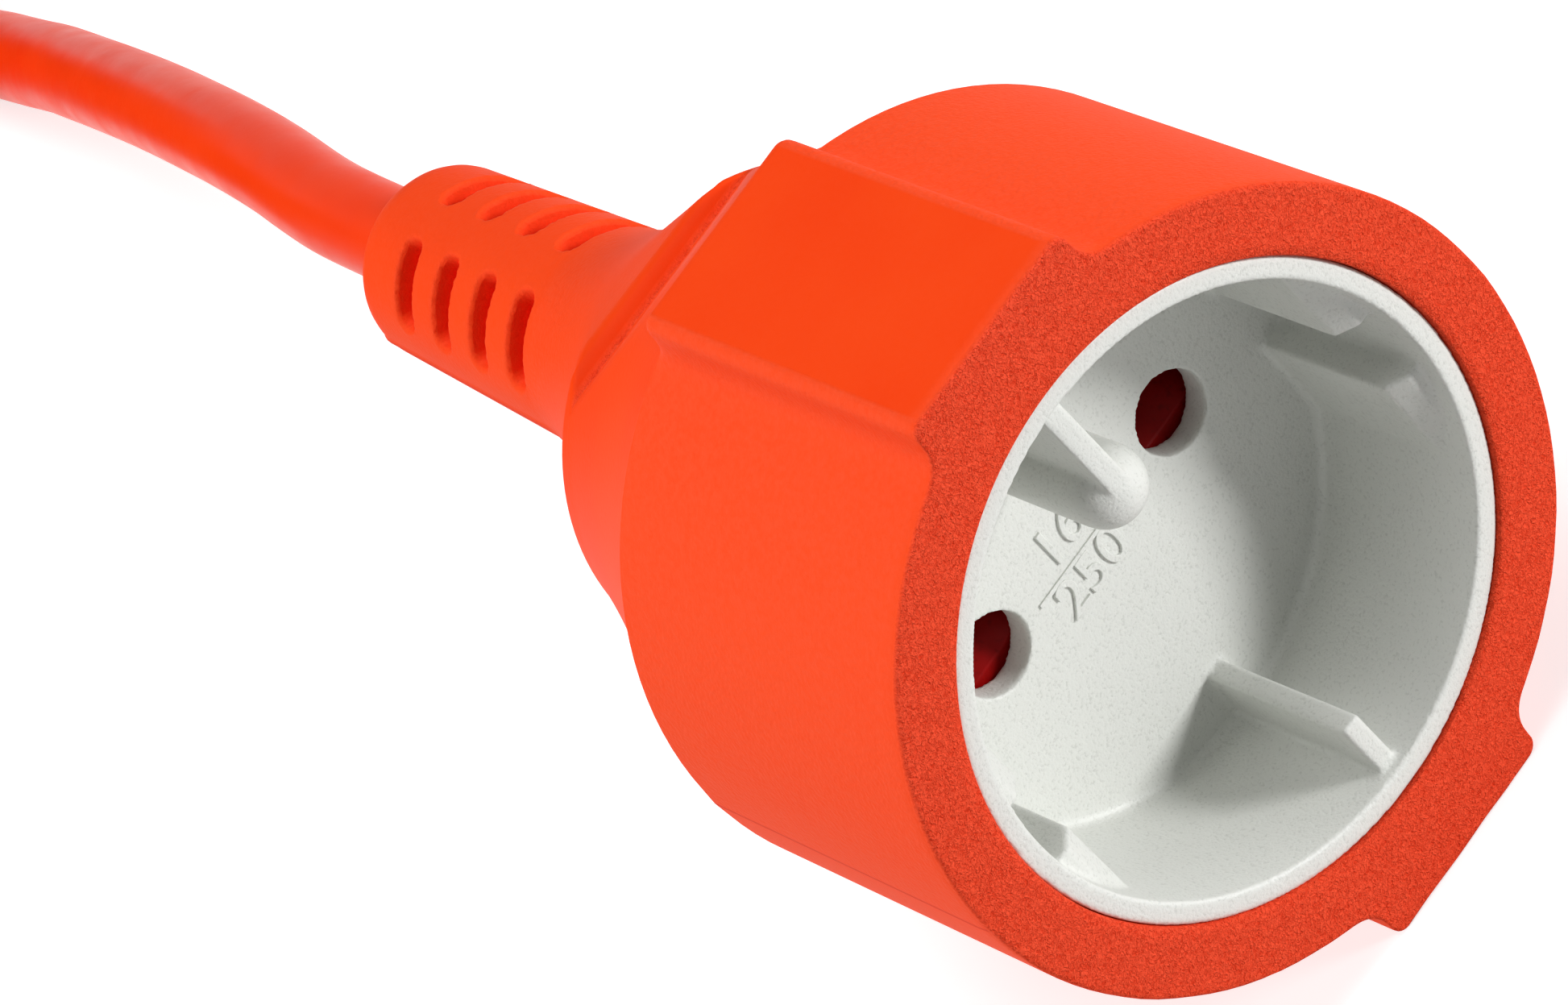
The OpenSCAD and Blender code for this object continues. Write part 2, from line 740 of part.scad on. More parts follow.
// Strap round the bundle, a quarter turn after the coil's start, with its end lapped on top
module coil_tie() {
    bow = pow(tie_w / 2, 2) / (2 * coil_in_r);
    x_low = -(coil_out_r - pitch / 4 + cord_r + tie_gap);
    x_high = -(coil_in_r + pitch / 4 - cord_r - tie_gap - bow);
    z_low = tie_t;
    z_high = first_layer_z + (layers - 1) * pitch + cord_r + tie_gap;
    x_mid = (x_low + x_high) / 2;
    color(black) translate([coil_centre[0], coil_centre[1], 0]) rotate([90, 0, 0])
        linear_extrude(tie_w, center = true) {
            difference() {
                rounded_outline(x_low - tie_t, x_high + tie_t, z_low - tie_t, z_high + tie_t,
                                tie_corner_r + tie_t);
                rounded_outline(x_low, x_high, z_low, z_high, tie_corner_r);
            }
            translate([x_mid - tie_tab_l / 2, z_high + tie_t - 0.1])
                square([tie_tab_l, tie_t + 0.1]);
        }
}

// Plug ------------------------------------------------------------------------------------------

module plug_body() {
    color(orange) in_plug() difference() {
        intersection() {
            turned(concat([[0, 0]],
                          [for (k = [0:round_steps])
                              let (a = 90 * k / round_steps)
                              [nose_d / 2 - nose_edge_r * (1 - sin(a)),
                               nose_edge_r * (1 - cos(a))]],
                          flaring(nose_d / 2, relief_d / 2, grip_l, plug_flare_depth),
                          end_round(relief_end_d / 2, plug_l, relief_end_r),
                          [[0, plug_l]]));
            box(-overshoot, plug_l + overshoot, -nose_w / 2, nose_w / 2,
                -nose_h / 2, nose_h / 2);
        }
        both_sides_up() {
            box(-overshoot, notch_l, -notch_w / 2, notch_w / 2, post_h, nose_d);
            translate([0, 0, post_h]) rod(notch_w, -overshoot, notch_l);
        }
        box(-overshoot, bridge_l + fit, -bridge_w / 2 - fit, bridge_w / 2 + fit,
            -bridge_h / 2 - fit, bridge_h / 2 + fit);
        core_passage(pin_flange_d, bridge_l, plug_crimp_back, plug_sheath_depth);
        rod(cord_d + 2 * fit, plug_sheath_depth - fit, plug_l + overshoot);
    }
}

module plug_bridge() {
    color(grey) in_plug() difference() {
        box(0, bridge_l, -bridge_w / 2, bridge_w / 2, -bridge_h / 2, bridge_h / 2);
        both_sides_across() translate([0, pin_y, 0])
            rod(pin_shank_d + 2 * fit, -overshoot, bridge_l + overshoot);
    }
}

module plug_pin() {
    r = pin_d / 2;
    difference() {
        turned([[0, -pin_l], [r * 0.5, -pin_l], [r * 0.85, -pin_l + pin_tip_l * 0.35],
                [r, -pin_l + pin_tip_l], [r, -fit], [pin_shank_d / 2, -fit],
                [pin_shank_d / 2, flange_depth], [pin_flange_d / 2, flange_depth],
                [pin_flange_d / 2, plug_crimp_depth], [crimp_d / 2, plug_crimp_depth],
                [crimp_d / 2, plug_crimp_back], [0, plug_crimp_back]]);
        rod(wire_d + 2 * fit, plug_crimp_back - crimp_bore_l, plug_crimp_back + overshoot);
    }
}

module plug_pin_line() {
    color(nickel) in_plug() translate([0, LINE * pin_y, 0]) plug_pin();
}

module plug_pin_neutral() {
    color(nickel) in_plug() translate([0, NEUTRAL * pin_y, 0]) plug_pin();
}

module plug_wire_ends() {
    color(copper) in_plug() wire_ends(plug_crimp_back);
}

module plug_core_line() {
    color(core_brown) in_plug() core(LINE, plug_crimp_back, plug_sheath_depth);
}

module plug_core_neutral() {
    color(core_blue) in_plug() core(NEUTRAL, plug_crimp_back, plug_sheath_depth);
}

module plug_cord_end() {
    color(orange) in_plug() rod(cord_d, plug_sheath_depth, plug_l);
}

socket_body();
socket_insert();
contact_carrier();
shutter_upper();
shutter_lower();
shutter_springs_upper();
shutter_springs_lower();
contact_line();
contact_neutral();
socket_wire_ends();
socket_core_line();
socket_core_neutral();
socket_cord_end();
cord_lead();
cord_coil();
cord_tail();
coil_tie();
plug_body();
plug_bridge();
plug_pin_line();
plug_pin_neutral();
plug_wire_ends();
plug_core_line();
plug_core_neutral();
plug_cord_end();
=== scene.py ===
"""Extension cord: dresses the moulded socket, its plug, the wound cord and the strap round it.

Sizes of the part are in millimetres. Meshes, the points of the cord's ends and the studio are
in metres, in the part's own frame. A depth is measured backwards from the front face of the
socket, along its axis.
"""

import logging
import math
from dataclasses import dataclass
from enum import Enum
from functools import cached_property
from typing import Sequence

import bmesh
import bpy
from bmesh.types import BMEdge, BMesh, BMVert
from bpy.types import Material, Mesh, Node, Object
from bpy.types import NodeSocket as Socket
from mathutils import Matrix, Vector, noise


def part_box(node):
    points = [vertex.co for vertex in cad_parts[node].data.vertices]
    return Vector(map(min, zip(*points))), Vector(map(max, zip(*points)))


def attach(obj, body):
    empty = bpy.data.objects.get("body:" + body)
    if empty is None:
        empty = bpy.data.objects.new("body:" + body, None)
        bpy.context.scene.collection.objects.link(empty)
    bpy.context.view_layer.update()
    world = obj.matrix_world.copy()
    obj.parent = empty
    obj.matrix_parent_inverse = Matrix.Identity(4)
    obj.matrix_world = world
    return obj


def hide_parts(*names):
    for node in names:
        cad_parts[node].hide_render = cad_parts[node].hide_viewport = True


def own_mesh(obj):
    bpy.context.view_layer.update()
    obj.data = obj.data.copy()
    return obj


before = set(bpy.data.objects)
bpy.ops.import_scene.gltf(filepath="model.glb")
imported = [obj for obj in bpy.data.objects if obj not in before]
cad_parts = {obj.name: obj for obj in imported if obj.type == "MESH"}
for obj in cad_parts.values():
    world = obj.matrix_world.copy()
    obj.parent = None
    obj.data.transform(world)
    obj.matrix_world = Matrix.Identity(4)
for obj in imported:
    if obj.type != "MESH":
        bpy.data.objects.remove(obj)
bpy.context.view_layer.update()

LOG = logging.getLogger("extension_cord")
MM = 0.001
# What a vertex of an orange skin carries: leathery grain, fine grain with painted sheen, and
# painted shade in a groove
GRAIN_AND_PAINTED_LIGHT = ("coarse", "fine", "painted_groove_shade")

Colour = tuple[float, float, float]
Place = tuple[float, float, float]
Outline = list[tuple[float, float]]
Value = Socket | float | Sequence[float]


class Body(Enum):
    """Bodies of the part that a piece can ride on."""

    CORD_SET = "cord_set"
    LEAF_UPPER = "leaf_upper"
    LEAF_LOWER = "leaf_lower"


class Half(Enum):
    """Side of the socket's axis on which a shutter leaf lies."""

    UPPER = 1
    LOWER = -1


# Materials --------------------------------------------------------------------------------------


class Tree:
    """Node tree of a material or of the world, grown from its shader."""

    def __init__(self, name: str, world: bool = False, **values: Value) -> None:
        """Start a material or a world.

        Args:
            name: its name.
            world: whether it is a world.
            values: values of the shader's sockets, with underscores for spaces.
        """
        self.owner = (bpy.data.worlds if world else bpy.data.materials).new(name)
        self.owner.use_nodes = True
        self.nodes = self.owner.node_tree.nodes
        self.links = self.owner.node_tree.links
        self.shader = self.put(self.nodes["Background" if world else "Principled BSDF"], **values)

    @cached_property
    def coordinates(self) -> Socket:
        """The object's own coordinates."""
        return self.add("TexCoord").outputs["Object"]

    def wire(self, socket: Socket, value: Value) -> None:
        """Link a socket to another, or set it to a plain value."""
        if isinstance(value, Socket):
            self.links.new(value, socket)
        else:
            socket.default_value = value

    def put(self, node: Node, **values: Value) -> Node:
        """Wire a node's inputs by their names, with underscores for spaces."""
        for name, value in values.items():
            self.wire(node.inputs[name.replace("_", " ")], value)
        return node

    def add(self, kind: str, **values: Value) -> Node:
        """Add a node of a kind and wire its inputs."""
        return self.put(self.nodes.new("ShaderNode" + kind), **values)

    def finished(self, **values: Value) -> Material | bpy.types.World:
        """Wire the shader and give what the tree belongs to."""
        self.put(self.shader, **values)
        return self.owner

    def stretched(self, scale: Sequence[float]) -> Socket:
        """Object coordinates stretched along each axis."""
        return self.add("Mapping", Vector=self.coordinates, Scale=scale).outputs["Vector"]

    def cloud(
        self,
        size_mm: float,
        detail: float = 2.0,
        distortion: float = 0.0,
        along: Socket | None = None,
    ) -> Socket:
        """Noise whose patches are about one size.

        Args:
            size_mm: size of a patch.
            detail: octaves of finer noise in it.
            distortion: how much the patches curl.
            along: coordinates, where they aren't the object's own.

        Returns:
            The noise's value, from 0 to 1.
        """
        vector, scale = along or self.coordinates, 1 / (size_mm * MM)
        values = dict(Vector=vector, Scale=scale, Detail=detail, Distortion=distortion)
        return self.add("TexNoise", **values).outputs["Fac"]

    def attribute(self, name: str) -> Socket:
        """Value that a mesh carries at its vertices."""
        node = self.add("Attribute")
        node.attribute_name = name
        return node.outputs["Fac"]

    def from_level(self, height_mm: float) -> Socket:
        """Distance of the point above or below a level, in metres."""
        height = self.add("SeparateXYZ", Vector=self.coordinates).outputs["Z"]
        return self.maths("ABSOLUTE", self.maths("SUBTRACT", height, height_mm * MM), 0.0)

    def spread(
        self, value: Socket, low: float, high: float, to_low: float = 0.0, to_high: float = 1.0
    ) -> Socket:
        """Value mapped from one span to another, and held at its ends."""
        values = dict(From_Min=low, From_Max=high, To_Min=to_low, To_Max=to_high)
        return self.add("MapRange", Value=value, **values).outputs["Result"]

    def maths(self, operation: str, first: Socket | float, second: Socket | float) -> Socket:
        """Result of a Math node."""
        node = self.add("Math")
        node.operation = operation
        for socket, value in zip(node.inputs, (first, second)):
            self.wire(socket, value)
        return node.outputs["Value"]

    def blend(self, factor: Socket, first: Socket | Colour, second: Socket | Colour) -> Socket:
        """Colour between two colours."""
        node = self.nodes.new("ShaderNodeMix")
        node.data_type = "RGBA"
        self.put(node, Factor=factor)
        for socket, value in (("A", first), ("B", second)):
            target = [s for s in node.inputs if s.name == socket and s.type == "RGBA"][0]
            self.wire(target, value if isinstance(value, Socket) else (*value, 1.0))
        return [s for s in node.outputs if s.type == "RGBA"][0]

    def relief(self, height: Socket, depth_mm: float, under: Socket | None = None) -> Socket:
        """Bump of a real depth, laid over another one if there is one."""
        node = self.add("Bump", Distance=depth_mm * MM, Height=height)
        if under:
            self.put(node, Normal=under)
        return node.outputs["Normal"]

    def seen(self) -> Socket:
        """1 for a ray of the camera, of a reflection or through glass, otherwise 0."""
        rays = self.add("LightPath").outputs
        direct = self.maths("MAXIMUM", rays["Is Camera Ray"], rays["Is Glossy Ray"])
        return self.maths("MAXIMUM", direct, rays["Is Transmission Ray"])


@dataclass(frozen=True)
class MouldedPvc:
    """Soft moulded PVC, whose grain, painted sheen and painted shade in grooves the mesh carries as
    attributes.
    """

    name: str = "moulded_orange_pvc"
    skin: Colour = (0.89, 0.048, 0.002)
    warm: Colour = (0.91, 0.060, 0.004)
    # Painted sheen: a paler tint over the finely grained zone
    painted_sheen: Colour = (0.90, 0.078, 0.022)
    # Light side of the leathery grain, tinted paler as painted sheen
    grain_light_with_sheen: Colour = (0.93, 0.086, 0.034)
    pit: Colour = (0.66, 0.034, 0.009)
    # Painted shade: a darker, deeper red that fills the slots and the bore
    painted_groove_shade: Colour = (0.84, 0.006, 0.001)
    fine_mm: float = 0.32
    fine_depth_mm: float = 0.08
    coarse_mm: float = 0.2
    coarse_depth_mm: float = 0.22
    seam: Colour = (0.72, 0.030, 0.004)
    seam_level_mm: float = 27.7
    seam_mm: float = 0.22

    def material(self) -> Material:
        """Build the node tree."""
        tree = Tree(self.name, IOR=1.5, Specular_IOR_Level=0.04)
        coarse_zone, fine_grain_and_sheen, painted_groove_shade = (tree.attribute(name) for name in GRAIN_AND_PAINTED_LIGHT)
        patches = tree.blend(tree.spread(tree.cloud(14.0), 0.35, 0.65), self.skin, self.warm)
        speckle = tree.spread(tree.cloud(0.5), 0.35, 0.65, 0.7, 1.0)
        # Painted sheen where the fine grain is, broken up by the speckle
        with_painted_sheen = tree.blend(tree.maths("MULTIPLY", fine_grain_and_sheen, speckle), patches, self.painted_sheen)
        worm = tree.cloud(self.coarse_mm, 2.5, 1.2)
        leather = tree.blend(tree.spread(worm, 0.32, 0.60), self.pit, self.grain_light_with_sheen)
        beside = tree.from_level(self.seam_level_mm)
        line = tree.spread(beside, 0.3 * self.seam_mm * MM, self.seam_mm * MM, 1.0, 0.0)
        line = tree.maths("MULTIPLY", line, tree.spread(coarse_zone, 0.0, 0.3, 0.85, 0.0))
        colour = tree.blend(line, tree.blend(coarse_zone, with_painted_sheen, leather), self.seam)
        dull = tree.spread(coarse_zone, 0, 1, 0.0, 0.12)
        rough = tree.maths("ADD", tree.spread(fine_grain_and_sheen, 0, 1, 0.5, 0.6), dull)
        fine = tree.maths("MULTIPLY", tree.cloud(self.fine_mm, 3.0), fine_grain_and_sheen)
        grain = tree.relief(fine, self.fine_depth_mm)
        coarse = tree.maths("MULTIPLY", worm, coarse_zone)
        return tree.finished(
            Base_Color=tree.blend(painted_groove_shade, colour, self.painted_groove_shade),
            Roughness=rough,
            Normal=tree.relief(coarse, self.coarse_depth_mm, grain),
        )


@dataclass(frozen=True)
class SheathPvc:
    """Extruded PVC of the cord and its cores, with faint patches of another shade."""

    name: str
    colour: Colour
    patch: Colour
    roughness: float = 0.34

    def material(self) -> Material:
        """Build the node tree."""
        tree = Tree(self.name, IOR=1.5, Specular_IOR_Level=0.09)
        cloud, smudge = tree.cloud(9.0, 3.0), tree.cloud(3.0, 4.0)
        return tree.finished(
            Base_Color=tree.blend(tree.spread(cloud, 0.3, 0.7), self.colour, self.patch),
            Roughness=tree.spread(smudge, 0.3, 0.7, self.roughness - 0.04, self.roughness + 0.07),
            Normal=tree.relief(tree.cloud(0.5, 3.0), 0.008),
        )


@dataclass(frozen=True)
class HardPlastic:
    """Hard moulded plastic with a fine speckled grain."""

    name: str
    colour: Colour
    speckle: Colour
    roughness: float = 0.42
    grain_mm: float = 0.22
    grain_depth_mm: float = 0.05
    shine: float = 0.4

    def material(self) -> Material:
        """Build the node tree."""
        tree = Tree(self.name, IOR=1.5, Specular_IOR_Level=self.shine)
        grain, smudge = tree.cloud(self.grain_mm), tree.cloud(2.5, 3.0)
        return tree.finished(
            Base_Color=tree.blend(tree.spread(grain, 0.30, 0.44), self.speckle, self.colour),
            Roughness=tree.spread(smudge, 0.3, 0.7, self.roughness - 0.05, self.roughness + 0.08),
            Normal=tree.relief(grain, self.grain_depth_mm),
        )


@dataclass(frozen=True)
class Metal:
    """Bare or plated metal with turning marks and a faint tarnish."""

    name: str
    colour: Colour
    tarnish: Colour
    roughness: float = 0.24

    def material(self) -> Material:
        """Build the node tree."""
        tree = Tree(self.name, Metallic=1.0)
        stain = tree.spread(tree.cloud(1.6, 4.0), 0.45, 0.75)
        marks = tree.cloud(0.3, 3.0, along=tree.stretched((4.0, 0.4, 0.4)))
        return tree.finished(
            Base_Color=tree.blend(stain, self.colour, self.tarnish),
            Roughness=tree.spread(marks, 0.3, 0.7, self.roughness - 0.06, self.roughness + 0.1),
            Normal=tree.relief(marks, 0.006),
        )


@dataclass(frozen=True)
class WovenStrap:
    """Black nylon strap with a cross-woven, slightly furry face."""

    name: str = "woven_strap"
    yarn: Colour = (0.016, 0.016, 0.018)
    worn: Colour = (0.045, 0.045, 0.048)
    pitch_mm: float = 0.9

    def material(self) -> Material:
        """Build the node tree."""
        tree = Tree(self.name, Roughness=0.85, Sheen_Weight=0.35, Sheen_Roughness=0.4)
        scale = math.pi / (10 * self.pitch_mm * MM)
        bands = []
        for axis in "XYZ":
            wave = tree.add("TexWave", Vector=tree.coordinates, Scale=scale, Distortion=0.6)
            wave.wave_type, wave.bands_direction = "BANDS", axis
            bands.append(wave.outputs["Fac"])
        weave = tree.maths("MULTIPLY", tree.maths("MAXIMUM", bands[0], bands[2]), bands[1])
        fuzz = tree.relief(tree.cloud(0.12, 3.0), 0.03)
        return tree.finished(
            Base_Color=tree.blend(weave, self.yarn, self.worn),
            Normal=tree.relief(weave, 0.12, fuzz),
        )


# Mesh tools -------------------------------------------------------------------------------------


def smooth_least(a: float, b: float, width: float) -> float:
    """Least of two numbers, rounded where they are within a width of each other."""
    share = min(1.0, max(0.0, 0.5 + 0.5 * (b - a) / width))
    return b + (a - b) * share - width * share * (1 - share)


def smooth_most(a: float, b: float, width: float) -> float:
    """Greatest of two numbers, rounded in the same way."""
    return -smooth_least(-a, -b, width)


def eased(share: float) -> float:
    """Smooth step from 0 to 1."""
    share = min(1.0, max(0.0, share))
    return share * share * (3 - 2 * share)


def spaced(first: float, last: float, count: int) -> list[float]:
    """Even steps from a first number up to, and without, a last one."""
    return [first + (last - first) * k / count for k in range(count)]


def placed(name: str, data: bpy.types.ID) -> Object:
    """Put data in the scene as an object."""
    made = bpy.data.objects.new(name, data)
    bpy.context.scene.collection.objects.link(made)
    return made


def show(
    name: str,
    mesh: Mesh,
    finish: Material,
    replaced: Sequence[str] = (),
    crease_deg: float = 40.0,
    body: Body = Body.CORD_SET,
) -> Object:
    """Put a finished mesh in the scene as a piece.

    Args:
        name: the piece's name.
        mesh: its mesh, in metres in the part's frame.
        finish: its material.
        replaced: the nodes that it stands for.
        crease_deg: angle past which an edge looks sharp.
        body: the body it rides on.

    Returns:
        The piece.
    """
    piece = placed(name, mesh)
    mesh.name = name
    mesh.materials.clear()
    mesh.materials.append(finish)
    mesh.shade_smooth()
    mesh.set_sharp_from_angle(angle=math.radians(crease_deg))
    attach(piece, body.value)
    if replaced:
        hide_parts(*replaced)
    LOG.info("%s: %d faces", name, len(mesh.polygons))
    return piece


def copied(node: str) -> BMesh:
    """Bmesh of a node, whose doubled points are merged."""
    work = bmesh.new()
    work.from_mesh(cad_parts[node].data)
    bmesh.ops.remove_doubles(work, verts=work.verts, dist=1e-6)
    return work


def bevel(work: BMesh, edges: Sequence[BMEdge], width_mm: float) -> None:
    """Round some edges of a bmesh."""
    shape = dict(segments=3, profile=0.5, affect="EDGES", material=-1)
    bmesh.ops.bevel(work, geom=edges, offset=width_mm * MM, **shape)


def poured(work: BMesh, name: str) -> Mesh:
    """Make a mesh of a bmesh, and free the bmesh."""
    mesh = bpy.data.meshes.new(name)
    work.to_mesh(mesh)
    work.free()
    return mesh


def mesh_from(work: BMesh, name: str) -> Mesh:
    """Close a bmesh: merge doubles, turn its faces outwards and make a mesh of it."""
    bmesh.ops.remove_doubles(work, verts=work.verts, dist=1e-7)
    bmesh.ops.recalc_face_normals(work, faces=work.faces)
    return poured(work, name)


def worked_out(carrier: Object) -> Mesh:
    """Mesh that an object's modifiers or letters give. The object itself is removed."""
    graph = bpy.context.evaluated_depsgraph_get()
    mesh = bpy.data.meshes.new_from_object(carrier.evaluated_get(graph))
    bpy.data.objects.remove(carrier)
    return mesh


def softened(node: str, voxel_mm: float, rounds: int, kept: float = 1.0) -> Mesh:
    """Copy of a node whose edges and inner corners are rounded as in a moulding.

    Args:
        node: the node that is copied.
        voxel_mm: edge of a remesh cell, which is about the rounding.
        rounds: passes of smoothing.
        kept: share of the faces that is kept where fewer will do.

    Returns:
        The rounded mesh.
    """
    carrier = placed(node + "_copy", poured(copied(node), node + "_copy"))
    remesh = carrier.modifiers.new("cells", "REMESH")
    remesh.mode = "VOXEL"
    remesh.voxel_size = voxel_mm * MM
    relax = carrier.modifiers.new("relax", "SMOOTH")
    relax.factor = 0.5
    relax.iterations = rounds
    if kept < 1:
        carrier.modifiers.new("thin", "DECIMATE").ratio = kept
    return worked_out(carrier)


class Skin:
    """Closed skin drawn by carrying one ring of points through a run of sections."""

    def __init__(self, layers: Sequence[str] = ()) -> None:
        """Start an empty skin whose vertices carry the named values."""
        self.work = bmesh.new()
        self.layers = [self.work.verts.layers.float.new(name) for name in layers]
        self.ring: list[BMVert] = []
        self.first: list[BMVert] = []

    def carry(self, spots: Sequence[tuple[Vector, Sequence[float]]]) -> None:
        """Extrude the ring to new places.

        Args:
            spots: for each vertex its place in metres, and what it carries in each layer.
        """
        if self.ring:
            pairs = zip(self.ring, self.ring[1:] + self.ring[:1])
            edges = [self.work.edges.get(pair) for pair in pairs]
            grown = bmesh.ops.extrude_edge_only(self.work, edges=edges)["geom"]
            fresh = {v for v in grown if isinstance(v, BMVert)}
            self.ring = [
                next(e.other_vert(v) for e in v.link_edges if e.other_vert(v) in fresh)
                for v in self.ring
            ]
        else:
            self.ring = self.first = [self.work.verts.new(place) for place, _ in spots]
            for pair in zip(self.ring, self.ring[1:] + self.ring[:1]):
                self.work.edges.new(pair)
        for vertex, (place, values) in zip(self.ring, spots):
            vertex.co = place
            for layer, value in zip(self.layers, values):
                vertex[layer] = value

    def close(self) -> None:
        """Carry the last ring back to the first one."""
        self.carry([(v.co.copy(), [v[layer] for layer in self.layers]) for v in self.first])

    def cap(self) -> None:
        """Fill the first and the last ring."""
        for ring in (self.first, self.ring):
            bmesh.ops.contextual_create(self.work, geom=ring)


# Sub-assemblies ---------------------------------------------------------------------------------


@dataclass(frozen=True)
class Axis:
    """Place of a moulding's own axis in the part's frame, in millimetres."""

    front: float
    middle: float
    height: float

    def at(self, depth: float, across: float, up: float) -> Vector:
        """Point at a depth behind the front face, in metres."""
        return Vector((self.front - depth, self.middle + across, self.height + up)) * MM


def socket_axis() -> Axis:
    """Axis of the socket, from its node's box."""
    low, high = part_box("socket_body")
    return Axis(high.x / MM, (low.y + high.y) / 2 / MM, (low.z + high.z) / 2 / MM)


@dataclass
class SocketBody:
    """Orange over-moulding: barrel with two pads, shoulder, flare and slotted strain relief."""

    axis: Axis
    length: float = 89.0
    barrel_r: float = 25.7
    barrel_l: float = 28.7
    barrel_draft: float = 0.1
    pad_half: float = 7.6
    pad_top: float = 27.7
    pad_edge_r: float = 1.0
    pad_foot: float = 1.8
    pad_corner_r: float = 1.5
    pad_lean: float = 0.9
    shoulder_r: float = 25.35
    shoulder_l: float = 19.2
    shoulder_sag: float = 0.5
    collar_r: float = 16.6
    flat_front: float = 27.0
    flat_back: float = 13.8
    ramp_l: float = 1.0
    ramp_h: float = 1.2
    neck_fall: float = 0.45
    flare_l: float = 18.5
    flare_bend: float = 1.65
    relief_r: float = 7.65
    relief_end_r: float = 6.75
    end_round: float = 2.6
    tilt_deg: float = 1.6
    tilt_depth: float = 47.9
    tilt_run: float = 1.5
    mouth_r: float = 21.12
    bore_r: float = 3.46
    slot_rows: int = 4
    slot_set: float = 0.8
    slot_pitch: float = 4.85
    slot_half: float = 0.98
    slot_depth: float = 2.3
    slot_lip: float = 0.35
    slot_from_deg: float = 21.0
    slot_to_deg: float = 59.0
    slot_snap: float = 0.11
    slot_wall: float = 0.16
    ridge_h: float = 0.13
    ridge_w: float = 0.35
    crown_round: float = 1.3
    cut_round: float = 0.35
    pad_round: float = 0.5
    neck_step: float = 0.1
    edge_w: float = 0.34
    edge_l: float = 0.36
    flake_h: float = 0.07
    crease_w: float = 0.32
    crease_h: float = 0.10
    crease_tear: float = 0.22
    fray_set: float = 0.1
    fray_w: float = 0.5
    fray_h: float = 0.09
    shade_depth: float = 1.3
    stations: tuple[int, int, int] = (14, 24, 22)
    corner_least: float = math.radians(6)
    corner_half: float = math.radians(2.5)

    @property
    def collar_depth(self) -> float:
        """Depth at which the shoulder ends."""
        return self.barrel_l + self.shoulder_l

    @property
    def crease_depth(self) -> float:
        """Depth of the crease at the end of the sloped flats."""
        return self.collar_depth - self.ramp_l

    @property
    def flare_depth(self) -> float:
        """Depth at which the flare ends."""
        return self.collar_depth + self.flare_l

    def round_r(self, depth: float) -> float:
        """Radius of the round part of a section."""
        if depth <= self.barrel_l:
            return self.barrel_r - self.barrel_draft * depth / self.barrel_l
        if depth <= self.collar_depth:
            t = (depth - self.barrel_l) / self.shoulder_l
            straight = self.shoulder_r + (self.collar_r - self.shoulder_r) * t
            return straight - 4 * self.shoulder_sag * t * (1 - t)
        if depth <= self.flare_depth:
            t = (depth - self.collar_depth) / self.flare_l
            share = max(0.0, 1 - t) ** self.flare_bend
            return self.relief_r + (self.collar_r - self.neck_step - self.relief_r) * share
        t = (depth - self.flare_depth) / (self.length - self.flare_depth)
        radius = self.relief_r + (self.relief_end_r - self.relief_r) * t
        into_end = max(0.0, depth - (self.length - self.end_round))
        return radius - self.end_round + math.sqrt(max(0.0, self.end_round**2 - into_end**2))

    def flat_h(self, depth: float) -> float:
        """Height above the axis of the flats, the ramp at their end and the flat on the flare."""
        if depth <= self.crease_depth:
            t = (depth - self.barrel_l) / (self.crease_depth - self.barrel_l)
            return self.flat_front + (self.flat_back - self.flat_front) * t
        ramp = self.flat_back + (depth - self.crease_depth) * self.ramp_h / self.ramp_l
        behind = self.flat_back + self.ramp_h - (depth - self.collar_depth) * self.neck_fall
        return smooth_least(ramp, behind, self.crown_round)

    def pad_shape(self, depth: float) -> tuple[float, float]:
        """Half width and height of a pad, which lean and round off at its rear."""
        edge = self.barrel_l - self.pad_lean
        lean = (self.pad_top - self.barrel_r) / self.pad_lean
        leaning = self.pad_top - (depth - edge) * lean
        top = smooth_least(self.pad_top, leaning, self.pad_round)
        into_corner = min(self.pad_corner_r, max(0.0, depth - (self.barrel_l - self.pad_corner_r)))
        half = self.pad_half - self.pad_corner_r
        return half + math.sqrt(self.pad_corner_r**2 - into_corner**2), top

    def outside(self, y: float, z: float, depth: float, padded: bool, cut: bool) -> float:
        """Signed distance of a point from a section's skin.

        Args:
            y: distance across from the axis.
            z: distance up from the axis.
            depth: depth of the section.
            padded: whether the section runs through the pads.
            cut: whether the sloped flats cut it.

        Returns:
            About the distance to the skin, below 0 inside.
        """
        away = math.hypot(y, z) - self.round_r(depth)
        if cut:
            away = smooth_most(away, z - self.flat_h(depth), self.cut_round)
        if padded:
            half, top = self.pad_shape(depth)
            over_y = y - (half - self.pad_edge_r)
            over_z = z - (top - self.pad_edge_r)
            block = math.hypot(max(over_y, 0), max(over_z, 0)) + min(max(over_y, over_z), 0)
            away = smooth_least(away, block - self.pad_edge_r, self.pad_foot)
        return away

    def corner(self, depth: float) -> float:
        """Angle from the pad's middle at which a sloped flat meets the round part."""
        chord = max(0.0, self.round_r(depth) ** 2 - self.flat_h(depth) ** 2) ** 0.5
        return max(self.corner_least, math.atan2(chord, self.flat_h(depth)))

    def quarter(self, depth: float, padded: bool, cut: bool) -> list[float]:
        """Angles of the points of a quarter section, closer together round its corner."""
        if padded:
            near = math.atan2(self.pad_half - self.pad_edge_r, self.pad_top) - 0.01
            far = math.asin((self.pad_half + self.pad_foot) / self.barrel_r) + 0.02
        else:
            middle = self.corner(depth) if cut else self.corner_least
            near, far = middle - self.corner_half, middle + self.corner_half
        flat, corner, rest = self.stations
        right = math.pi / 2
        angles = spaced(0, near, flat) + spaced(near, far, corner) + spaced(far, right, rest)
        evenly = spaced(0, right, sum(self.stations))
        even_share = eased((depth - self.collar_depth) / self.flare_l)
        return [a + (b - a) * even_share for a, b in zip(angles, evenly)] + [right]

